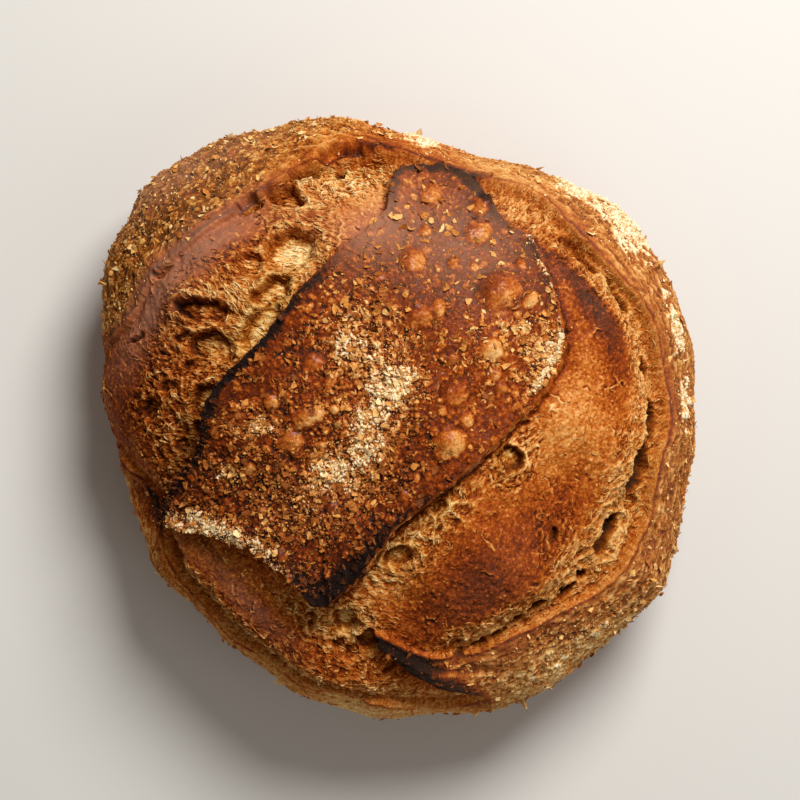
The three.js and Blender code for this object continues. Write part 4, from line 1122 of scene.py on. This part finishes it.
def crust_grid():
    """Spread positions and triangles of the whole crust, and the first point of the rim."""
    rings, rim = ring_plan()
    x, y, faces = [], [], []
    first = 0
    last = None
    rim_first = 0
    for index, (share, past, count) in enumerate(rings):
        turns = (np.arange(count) + 0.5 * (index % 2) * (count > 1)) / count
        angle = 2 * math.pi * turns
        spread = outline_radius(angle) * share + past
        x.append(spread * np.cos(angle))
        y.append(spread * np.sin(angle))
        if last is not None:
            faces.append(join_rings(last[0], last[1], first, turns))
        if index == rim:
            rim_first = first
        last = (first, turns)
        first += count
    return np.concatenate(x), np.concatenate(y), np.concatenate(faces), rim_first


def vertex_normals(points, faces):
    """Outward direction at each point, from the triangles round it."""
    corners = points[faces]
    face_normals = np.cross(corners[:, 1] - corners[:, 0], corners[:, 2] - corners[:, 0])
    normals = np.zeros_like(points)
    for corner in range(3):
        for axis in range(3):
            normals[:, axis] += np.bincount(faces[:, corner], face_normals[:, axis], len(points))
    return normals / np.maximum(TINY, np.linalg.norm(normals, axis=1))[:, None]


def make_mesh(name, points, faces, material, attributes, smooth):
    """Object from points in millimetres, triangles and one float attribute per name."""
    mesh = bpy.data.meshes.new(name)
    mesh.vertices.add(len(points))
    mesh.vertices.foreach_set("co", (points * MM).astype(np.float32).ravel())
    mesh.loops.add(faces.size)
    mesh.loops.foreach_set("vertex_index", faces.astype(np.int32).ravel())
    mesh.polygons.add(len(faces))
    mesh.polygons.foreach_set("loop_start", np.arange(0, faces.size, 3, dtype=np.int32))
    mesh.polygons.foreach_set("use_smooth", np.full(len(faces), smooth))
    mesh.update(calc_edges=True)
    for key, values in attributes.items():
        attribute = mesh.attributes.new(key, "FLOAT", "POINT")
        attribute.data.foreach_set("value", values.astype(np.float32))
    mesh.materials.append(material)
    piece = bpy.data.objects.new(name, mesh)
    bpy.context.scene.collection.objects.link(piece)
    return piece


# Middle, on both axes, and radius of the two discs of the crust's map.
CRUST_DISC_MIDDLE = 0.445
CRUST_DISC_RADIUS = 0.44
BOTTOM_DISC_MIDDLE = 0.866
BOTTOM_DISC_RADIUS = 0.125


def add_bake_map(piece, crust, rim_first):
    """A map of the crust as two discs: the dome with the flank, and the bottom."""
    crust_reach = _arc_length[-1] + FLANK_SPREAD
    crust_u = CRUST_DISC_MIDDLE + CRUST_DISC_RADIUS * crust.u / crust_reach
    crust_v = CRUST_DISC_MIDDLE + CRUST_DISC_RADIUS * crust.v / crust_reach
    bottom_reach = 1.2 * BASE_SHARE * MEAN_RADIUS
    bottom_u = BOTTOM_DISC_MIDDLE + BOTTOM_DISC_RADIUS * crust.smooth[:, 0] / bottom_reach
    bottom_v = BOTTOM_DISC_MIDDLE - BOTTOM_DISC_RADIUS * crust.smooth[:, 1] / bottom_reach
    faces = crust.faces
    on_bottom = (faces >= rim_first).all(axis=1)[:, None]
    map_u = np.where(on_bottom, bottom_u[faces], crust_u[faces])
    map_v = np.where(on_bottom, bottom_v[faces], crust_v[faces])
    layer = piece.data.uv_layers.new(name="OFBake")
    layer.data.foreach_set("uv", np.stack([map_u, map_v], axis=-1).astype(np.float32).ravel())


# ---- scattered flakes, crumbs and threads -------------------------------------------------------

FLAKE_COUNT = 8500
FLAKE_SIDES = 6
FLAKE_LEAST_HALF = 0.30           # half width of the smallest, before its rim is ragged
FLAKE_SPREAD_OF_HALF = 1.90       # by how much the largest is more
FLAKE_STEEPEST = 52               # degrees
CRUMB_COUNT = 13500
CRUMB_SIDES = 4
CRUMB_LEAST_HALF = 0.16
CRUMB_SPREAD_OF_HALF = 0.36
LEAST_WEIGHT = 1e-7               # so that no place is ruled out


def scatter_places(random, count, weight, points, normals):
    """Places on the crust drawn by weight, with a frame of two tangents and the normal."""
    chosen = random.choice(len(points), count, replace=False, p=weight / weight.sum())
    normal = normals[chosen]
    across = np.cross(normal, random.normal(size=(count, 3)))
    across /= np.linalg.norm(across, axis=1)[:, None]
    return points[chosen], across, np.cross(normal, across), normal, chosen


def repeat_faces(faces, count, corners):
    """Triangles of many like things, each with the given number of corners."""
    return (faces[None] + (np.arange(count) * corners)[:, None, None]).reshape(-1, 3)


def lens_faces(sides, count):
    """Triangles of lenses, each a rim, then a point above it and one below."""
    faces = []
    for side in range(sides):
        following = (side + 1) % sides
        faces += [(side, following, sides), (following, side, sides + 1)]
    return repeat_faces(np.array(faces), count, sides + 2)


def spindle_faces():
    """Triangles of the threads, each a tip, rings of corners and a tip, and how many points
    one has."""
    rings = THREAD_POINTS - 2
    last = THREAD_SIDES * rings + 1
    last_ring = last - THREAD_SIDES
    faces = []
    for side in range(THREAD_SIDES):
        other = (side + 1) % THREAD_SIDES
        faces.append((0, 1 + side, 1 + other))
        faces.append((last, last_ring + other, last_ring + side))
        for ring in range(rings - 1):
            one = 1 + THREAD_SIDES * ring + side
            two = 1 + THREAD_SIDES * ring + other
            one_on, two_on = one + THREAD_SIDES, two + THREAD_SIDES
            faces += [(one, one_on, two_on), (one, two_on, two)]
    return repeat_faces(np.array(faces), THREAD_COUNT, last + 1), last + 1


def make_flakes(random, crust, normals):
    """Bran flakes: thin, ragged, slightly curled lenses lying on the crust or tipped up."""
    weight = (crust.branny * (0.8 - 0.35 * crust.floury) + crust.rough * 0.22
              + 0.05 * crust.on_collar + 0.10 * crust.on_plate)
    weight = weight * (1.0 - smoothstep(4.0, 30.0, crust.past)) + LEAST_WEIGHT
    middle, across, along, normal, chosen = scatter_places(
        random, FLAKE_COUNT, weight, crust.points, normals)
    half = FLAKE_LEAST_HALF + FLAKE_SPREAD_OF_HALF * random.random(FLAKE_COUNT) ** 4.2
    tilt = np.radians(FLAKE_STEEPEST) * random.random(FLAKE_COUNT) ** 1.4
    tipped = np.cos(tilt)[:, None] * along + np.sin(tilt)[:, None] * normal
    upright = np.cos(tilt)[:, None] * normal - np.sin(tilt)[:, None] * along
    angles = 2 * math.pi * (np.arange(FLAKE_SIDES)
                            + 0.7 * random.random((FLAKE_COUNT, FLAKE_SIDES))) / FLAKE_SIDES
    reach = half[:, None] * (0.35 + 0.95 * random.random((FLAKE_COUNT, FLAKE_SIDES)))
    stretch = 0.2 + 0.75 * random.random(FLAKE_COUNT)
    rim_across = reach * np.cos(angles)
    rim_along = reach * np.sin(angles) * stretch[:, None]
    curl = (random.random(FLAKE_COUNT) - 0.2)[:, None]
    rim_up = curl * rim_across ** 2 / half[:, None]
    rise = (0.08 + 0.75 * half * stretch * np.sin(tilt))[:, None]
    middle = middle + upright * rise
    rim = (middle[:, None] + rim_across[..., None] * across[:, None]
           + rim_along[..., None] * tipped[:, None] + rim_up[..., None] * upright[:, None])
    thick = (0.08 + 0.10 * random.random(FLAKE_COUNT))[:, None]
    above = middle + upright * thick
    below = middle - upright * thick
    corners = np.concatenate([rim, above[:, None], below[:, None]], axis=1).reshape(-1, 3)
    faces = lens_faces(FLAKE_SIDES, FLAKE_COUNT)
    tone = np.clip(0.64 + 0.5 * random.random(FLAKE_COUNT)
                   - 0.54 * crust.pale[chosen] + 0.9 * crust.char[chosen], 0.0, 1.0)
    return corners, faces, np.repeat(tone, FLAKE_SIDES + 2)


def make_crumbs(random, crust, normals):
    """Crumbs of bran and flour, thickest in the floury patches."""
    weight = (crust.branny * (0.4 + 3.0 * crust.floury) + crust.rough * 0.3
              + 4.0 * crust.cake + crust.on_collar * (0.06 + 0.7 * crust.flour)
              + 0.02)
    weight = weight * (1.0 - smoothstep(6.0, 34.0, crust.past)) + LEAST_WEIGHT
    middle, across, along, normal, chosen = scatter_places(
        random, CRUMB_COUNT, weight, crust.points, normals)
    half = CRUMB_LEAST_HALF + CRUMB_SPREAD_OF_HALF * random.random((CRUMB_COUNT, 1, 1)) ** 2.0
    shape = np.array([(1, 0, 0), (0, 1, 0), (-1, 0, 0), (0, -1, 0), (0, 0, 1), (0, 0, -1)])
    jitter = 0.6 * (random.random((CRUMB_COUNT, len(shape), 3)) - 0.5)
    stretch = 0.5 + 0.9 * random.random((CRUMB_COUNT, 1, 3)) * np.array([1.0, 1.0, 0.6])
    local = (shape[None] + jitter) * half * stretch
    corners = (middle[:, None] + local[..., :1] * across[:, None]
               + local[..., 1:2] * along[:, None] + (local[..., 2:] + 0.3 * half) * normal[:, None])
    faces = lens_faces(CRUMB_SIDES, CRUMB_COUNT)
    tone = np.clip(0.55 + 0.5 * random.random(CRUMB_COUNT) - 0.45 * crust.pale[chosen]
                   - 0.4 * crust.flour[chosen] + 0.9 * crust.char[chosen], 0.0, 1.0)
    return corners.reshape(-1, 3), faces, np.repeat(tone, len(shape))


THREAD_COUNT = 6000
THREAD_POINTS = 6                 # along a thread, with its two tips
THREAD_SIDES = 3
THREAD_LEAST_WEIGHT = 1e-9
THREAD_LEAST_LENGTH = 1.4
THREAD_SPREAD_OF_LENGTH = 4.4
THREAD_LEAST_BOW = 0.12
THREAD_SPREAD_OF_BOW = 0.60
THREAD_LEAST_WIDTH = 0.15
THREAD_SPREAD_OF_WIDTH = 0.22
THREAD_SINK = 0.12                # how deep its tips are in the crust
THREAD_TURN_LEFT = -14.0          # degrees
THREAD_TURN_FRAYED = -46.0
THREAD_TURN_RIGHT = 40.0


def make_threads(random, crust, normals):
    """Torn threads of dough: thin spindles along the tear, bowed up with both ends sunk."""
    weight = (crust.torn * (1.0 - 0.4 * crust.golden) + 0.2 * crust.pocket_floor
              + 0.05 * crust.skin + 0.2 * crust.collar_face)
    weight = weight * (1.0 + 0.8 * crust.leftness) * (crust.past <= 0) + THREAD_LEAST_WEIGHT
    chosen = random.choice(len(crust.x), THREAD_COUNT, replace=False, p=weight / weight.sum())
    frayed = np.clip(crust.patches(FRAYED_PATCHES), 0.0, 1.0)[chosen]
    turn = np.where(random.random(THREAD_COUNT) < crust.leftness[chosen],
                    mix(THREAD_TURN_LEFT, THREAD_TURN_FRAYED, frayed), THREAD_TURN_RIGHT)
    spread = mix(38.0, 18.0, np.maximum(frayed, crust.pocket_floor[chosen]))
    turn = np.radians(turn + spread * random.normal(size=THREAD_COUNT))
    normal = normals[chosen]
    ahead = np.column_stack([np.cos(turn), np.sin(turn), np.zeros(THREAD_COUNT)])
    ahead -= normal * (ahead * normal).sum(axis=1)[:, None]
    ahead /= np.linalg.norm(ahead, axis=1)[:, None]
    aside = np.cross(normal, ahead)
    length = THREAD_LEAST_LENGTH + THREAD_SPREAD_OF_LENGTH * random.random(THREAD_COUNT) ** 2
    length = length * (1.0 + 0.5 * frayed)
    sweep = 0.8 * (random.random(THREAD_COUNT) - 0.5) * length
    bow = THREAD_LEAST_BOW + THREAD_SPREAD_OF_BOW * random.random(THREAD_COUNT) ** 2
    width = THREAD_LEAST_WIDTH + THREAD_SPREAD_OF_WIDTH * random.random(THREAD_COUNT) ** 2
    near = KDTree(len(crust.points))
    for index, point in enumerate(crust.points):
        near.insert(point, index)
    near.balance()
    corners = []
    for share in np.linspace(-0.5, 0.5, THREAD_POINTS):
        arch = 1.0 - 4.0 * share ** 2
        place = crust.points[chosen] + ahead * (length * share)[:, None]
        place = place + aside * (sweep * arch)[:, None]
        below = np.array([near.find(point)[1] for point in place])
        up = normals[below]
        place -= up * ((place - crust.points[below]) * up).sum(axis=1)[:, None]
        place += up * (bow * arch - THREAD_SINK)[:, None]
        if arch <= 0.0:
            corners.append(place)
            continue
        half = (width * arch ** 0.5)[:, None]
        corners += [place - aside * half, place + up * 1.3 * half, place + aside * half]
    faces, point_count = spindle_faces()
    corners = np.stack(corners, axis=1).reshape(-1, 3)
    values = {
        "bake": crust.bake[chosen] - 0.16 * random.random(THREAD_COUNT),
        "crumb": crust.crumb[chosen],
        "flour": 0.5 * crust.flour[chosen],
        "veil": crust.veil[chosen],
    }
    values = {key: np.repeat(value, point_count) for key, value in values.items()}
    return corners, faces, values


# ---- materials ----------------------------------------------------------------------------------

# Crust colours from cream crumb to burnt black, as shown on a screen.
BAKE_COLOURS = [
    (0.00, (247, 228, 178)), (0.16, (236, 200, 134)), (0.32, (222, 170, 104)),
    (0.48, (203, 134, 65)), (0.62, (174, 91, 25)), (0.76, (137, 56, 9)),
    (0.90, (97, 37, 8)), (1.05, (54, 25, 13)), (1.20, (23, 16, 13)),
]
CRUMB_COLOURS = [
    (0.00, (246, 224, 164)), (0.20, (228, 184, 108)), (0.40, (196, 138, 60)),
    (0.60, (152, 89, 20)), (0.80, (103, 53, 9)), (1.20, (44, 32, 20)),
]
FLAKE_COLOURS = [
    (0.00, (248, 230, 182)), (0.25, (230, 184, 112)), (0.45, (204, 134, 58)),
    (0.65, (158, 84, 26)), (1.00, (78, 37, 14)),
]
FLOUR_COLOUR = (236, 222, 190)
# Greyish pink of flour dust and of painted sheen on the skins.
DUST_AND_SHEEN_COLOUR = (188, 134, 104)
FLOOR_COLOUR = (214, 210, 203)
BAKE_END = 1.2


def shown(red, green, blue):
    """Linear colour from values as shown on a screen, 0 to 255."""
    parts = [value / 255 for value in (red, green, blue)]
    return [((part + 0.055) / 1.055) ** 2.4 if part > 0.04 else part / 12.92
            for part in parts] + [1.0]


class Shader:
    """A material under construction: each method adds one node and returns its output."""

    def __init__(self, name):
        self.material = bpy.data.materials.new(name)
        self.material.use_nodes = True
        self.tree = self.material.node_tree
        self.surface = self.tree.nodes["Principled BSDF"]

    def feed(self, socket, value):
        if isinstance(value, bpy.types.NodeSocket):
            self.tree.links.new(value, socket)
        else:
            socket.default_value = value

    def set(self, name, value):
        self.feed(self.surface.inputs[name], value)

    def attribute(self, name):
        node = self.tree.nodes.new("ShaderNodeAttribute")
        node.attribute_name = name
        return node.outputs["Fac"]

    def noise(self, size, detail=3.0, roughness=0.55):
        """Noise from 0 to 1 with features of the given size in millimetres."""
        place = self.tree.nodes.new("ShaderNodeTexCoord")
        node = self.tree.nodes.new("ShaderNodeTexNoise")
        self.feed(node.inputs["Vector"], place.outputs["Object"])
        self.feed(node.inputs["Scale"], 1.0 / (size * MM))
        self.feed(node.inputs["Detail"], detail)
        self.feed(node.inputs["Roughness"], roughness)
        return node.outputs["Fac"]

    def strands(self, turn_degrees, length, width):
        """Noise from 0 to 1 drawn out along a turn, with features of the given length and width
        in millimetres."""
        place = self.tree.nodes.new("ShaderNodeTexCoord")
        drawn = self.tree.nodes.new("ShaderNodeMapping")
        drawn.vector_type = "TEXTURE"
        self.feed(drawn.inputs["Vector"], place.outputs["Object"])
        self.feed(drawn.inputs["Rotation"], (0.0, 0.0, math.radians(turn_degrees)))
        self.feed(drawn.inputs["Scale"], (length * MM, width * MM, width * MM))
        node = self.tree.nodes.new("ShaderNodeTexNoise")
        self.feed(node.inputs["Vector"], drawn.outputs["Vector"])
        self.feed(node.inputs["Scale"], 1.0)
        self.feed(node.inputs["Detail"], 3.0)
        self.feed(node.inputs["Distortion"], 0.6)
        return node.outputs["Fac"]

    def maths(self, operation, first, second=0.0):
        node = self.tree.nodes.new("ShaderNodeMath")
        node.operation = operation
        self.feed(node.inputs[0], first)
        self.feed(node.inputs[1], second)
        return node.outputs[0]

    def remap(self, value, low, high, new_low, new_high):
        node = self.tree.nodes.new("ShaderNodeMapRange")
        for name, number in (("Value", value), ("From Min", low), ("From Max", high),
                             ("To Min", new_low), ("To Max", new_high)):
            self.feed(node.inputs[name], number)
        return node.outputs["Result"]

    def ramp(self, share, stops, end=1.0):
        node = self.tree.nodes.new("ShaderNodeValToRGB")
        elements = node.color_ramp.elements
        while len(elements) < len(stops):
            elements.new(0.5)
        for element, (place, shown_colour) in zip(elements, stops):
            element.position = place / end
            element.color = shown(*shown_colour)
        self.feed(node.inputs["Fac"], self.maths("DIVIDE", share, end))
        return node.outputs["Color"]

    def blend(self, share, first, second):
        node = self.tree.nodes.new("ShaderNodeMix")
        node.data_type = "RGBA"
        self.feed(node.inputs["Factor"], share)
        self.feed(node.inputs[6], first)
        self.feed(node.inputs[7], second)
        return node.outputs[2]

    def bump(self, height, strength, depth):
        """Fine unevenness, with its depth in millimetres."""
        node = self.tree.nodes.new("ShaderNodeBump")
        self.feed(node.inputs["Height"], height)
        self.feed(node.inputs["Strength"], strength)
        self.feed(node.inputs["Distance"], depth * MM)
        self.set("Normal", node.outputs["Normal"])


def crust_material():
    shader = Shader("baked_crust")
    fine = shader.noise(0.8, 3.0, 0.6)
    mottle = shader.noise(3.0, 4.0, 0.6)
    bake = shader.attribute("bake")
    bake = shader.maths("ADD", bake, shader.remap(fine, 0.3, 0.7, -0.12, 0.12))
    bake = shader.maths("ADD", bake, shader.remap(mottle, 0.3, 0.7, -0.07, 0.07))
    strand = shader.blend(shader.attribute("leftness"), shader.strands(46, 4.0, 0.5),
                          shader.strands(-12, 5.0, 0.5))
    strand = shader.maths("MULTIPLY", shader.remap(strand, 0.3, 0.7, -1.0, 1.0),
                          shader.attribute("fibrous"))
    bake = shader.maths("SUBTRACT", bake, shader.maths("MULTIPLY", strand, 0.16))
    flour = shader.attribute("flour")
    unsure = shader.maths("MULTIPLY", flour, shader.maths("SUBTRACT", 1.0, flour))
    specks = shader.maths("MULTIPLY", unsure, shader.remap(fine, 0.35, 0.62, -1.5, 1.5))
    dusting = shader.maths("MAXIMUM", shader.maths("ADD", flour, specks), 0.0)
    dusting = shader.maths("MINIMUM", dusting, 0.97)
    bake = shader.maths("MULTIPLY", bake, shader.maths("SUBTRACT", 1.0, dusting))
    colour = shader.ramp(bake, BAKE_COLOURS, BAKE_END)
    crumb_colour = shader.ramp(bake, CRUMB_COLOURS, BAKE_END)
    colour = shader.blend(shader.attribute("crumb"), colour, crumb_colour)
    # Flour dust and painted sheen.
    colour = shader.blend(shader.attribute("veil"), colour, shown(*DUST_AND_SHEEN_COLOUR))
    colour = shader.blend(shader.maths("MULTIPLY", dusting, dusting), colour,
                          shown(*FLOUR_COLOUR))
    shader.set("Base Color", colour)
    roughness = shader.remap(shader.attribute("gloss"), 0.0, 1.0, 0.78, 0.38)
    shader.set("Roughness", shader.maths("ADD", roughness,
                                         shader.remap(fine, 0.3, 0.7, -0.08, 0.08)))
    shader.set("Specular IOR Level", 0.06)
    shader.set("Coat Weight", shader.maths("MULTIPLY", shader.attribute("gloss"), 0.35))
    shader.set("Coat Roughness", 0.24)
    grit = shader.maths("ADD", shader.noise(0.7, 4.0, 0.65),
                        shader.maths("MULTIPLY", strand, 0.35))
    shader.bump(grit, 0.7, 0.3)
    return shader.material


def flake_material(name):
    shader = Shader(name)
    tone = shader.maths("ADD", shader.attribute("tone"),
                        shader.remap(shader.noise(0.7), 0.3, 0.7, -0.12, 0.12))
    shader.set("Base Color", shader.ramp(tone, FLAKE_COLOURS))
    shader.set("Roughness", shader.remap(shader.noise(1.6), 0.3, 0.7, 0.6, 0.85))
    shader.set("Specular IOR Level", 0.15)
    shader.bump(shader.noise(0.35), 0.4, 0.1)
    return shader.material


def floor_material():
    shader = Shader("pale_floor")
    shader.set("Base Color", shown(*FLOOR_COLOUR))
    shader.set("Roughness", 0.85)
    shader.set("Specular IOR Level", 0.1)
    return shader.material


# ---- the loaf -----------------------------------------------------------------------------------

def add_piece(name, points, faces, material, attributes, smooth):
    piece = make_mesh(name, points, faces, material, attributes, smooth)
    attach(piece, "root")
    return piece


# What the crust's material reads from the mesh.
PAINTED = ("bake", "flour", "crumb", "gloss", "fibrous", "leftness", "veil")


def dress_loaf():
    x, y, faces, rim_first = crust_grid()
    crust = bake_crust(x, y, faces)
    normals = vertex_normals(crust.points, faces)
    attributes = {key: getattr(crust, key) for key in PAINTED}
    piece = add_piece("crust", crust.points, faces, crust_material(), attributes, True)
    add_bake_map(piece, crust, rim_first)
    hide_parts("loaf")
    random = np.random.default_rng(SCATTER_SEED)
    for name, maker in (("bran_flakes", make_flakes), ("bran_crumbs", make_crumbs)):
        corners, scrap_faces, tone = maker(random, crust, normals)
        add_piece(name, corners, scrap_faces, flake_material(name), {"tone": tone}, False)
    corners, thread_faces, values = make_threads(random, crust, normals)
    add_piece("dough_threads", corners, thread_faces, piece.data.materials[0], values, True)


# ---- floor, light and camera --------------------------------------------------------------------

FLOOR_HALF = 3.0
KEY_TOWARDS = (0.46, 0.89)        # plan direction that the main light comes from
KEY_ELEVATION = 52.0
KEY_DISTANCE = 1.2
KEY_SIZE = 0.55
KEY_POWER = 17.5
FILL_PLACE = (0.9, -0.7, 1.2)
FILL_SIZE = 1.2
FILL_POWER = 3.5
WORLD_STRENGTH = 0.18
WORLD_COLOUR = (1.0, 0.94, 0.86, 1.0)

CAMERA_PLACE = (0.00095, 0.0070, 1.1)
CAMERA_SENSOR = 36.0
CAMERA_FOCAL = 125.8


def make_floor():
    mesh = bpy.data.meshes.new("floor")
    corners = [(-FLOOR_HALF, -FLOOR_HALF, 0), (FLOOR_HALF, -FLOOR_HALF, 0),
               (FLOOR_HALF, FLOOR_HALF, 0), (-FLOOR_HALF, FLOOR_HALF, 0)]
    mesh.from_pydata(corners, [], [(0, 1, 2, 3)])
    mesh.materials.append(floor_material())
    floor = bpy.data.objects.new("floor", mesh)
    bpy.context.scene.collection.objects.link(floor)


def add_area_light(name, place, size, power):
    light = bpy.data.lights.new(name, "AREA")
    light.shape = "DISK"
    light.size = size
    light.energy = power
    lamp = bpy.data.objects.new(name, light)
    lamp.location = place
    lamp.rotation_euler = Vector(place).to_track_quat("Z", "Y").to_euler()
    bpy.context.scene.collection.objects.link(lamp)


def light_scene():
    plan = Vector(KEY_TOWARDS).normalized() * math.cos(math.radians(KEY_ELEVATION))
    key_place = Vector((plan.x, plan.y, math.sin(math.radians(KEY_ELEVATION)))) * KEY_DISTANCE
    add_area_light("key_light", key_place, KEY_SIZE, KEY_POWER)
    add_area_light("fill_light", FILL_PLACE, FILL_SIZE, FILL_POWER)
    world = bpy.data.worlds.new("soft_room")
    world.use_nodes = True
    background = world.node_tree.nodes["Background"]
    background.inputs["Color"].default_value = WORLD_COLOUR
    background.inputs["Strength"].default_value = WORLD_STRENGTH
    bpy.context.scene.world = world
    bpy.context.scene.view_settings.view_transform = "Standard"


def make_camera():
    """Straight above the loaf, with the back of the loaf at the top of the picture."""
    camera = bpy.data.cameras.new("camera")
    camera.sensor_width = CAMERA_SENSOR
    camera.lens = CAMERA_FOCAL
    viewer = bpy.data.objects.new("camera", camera)
    viewer.location = CAMERA_PLACE
    bpy.context.scene.collection.objects.link(viewer)
    bpy.context.scene.camera = viewer


dress_loaf()
make_floor()
light_scene()
make_camera()
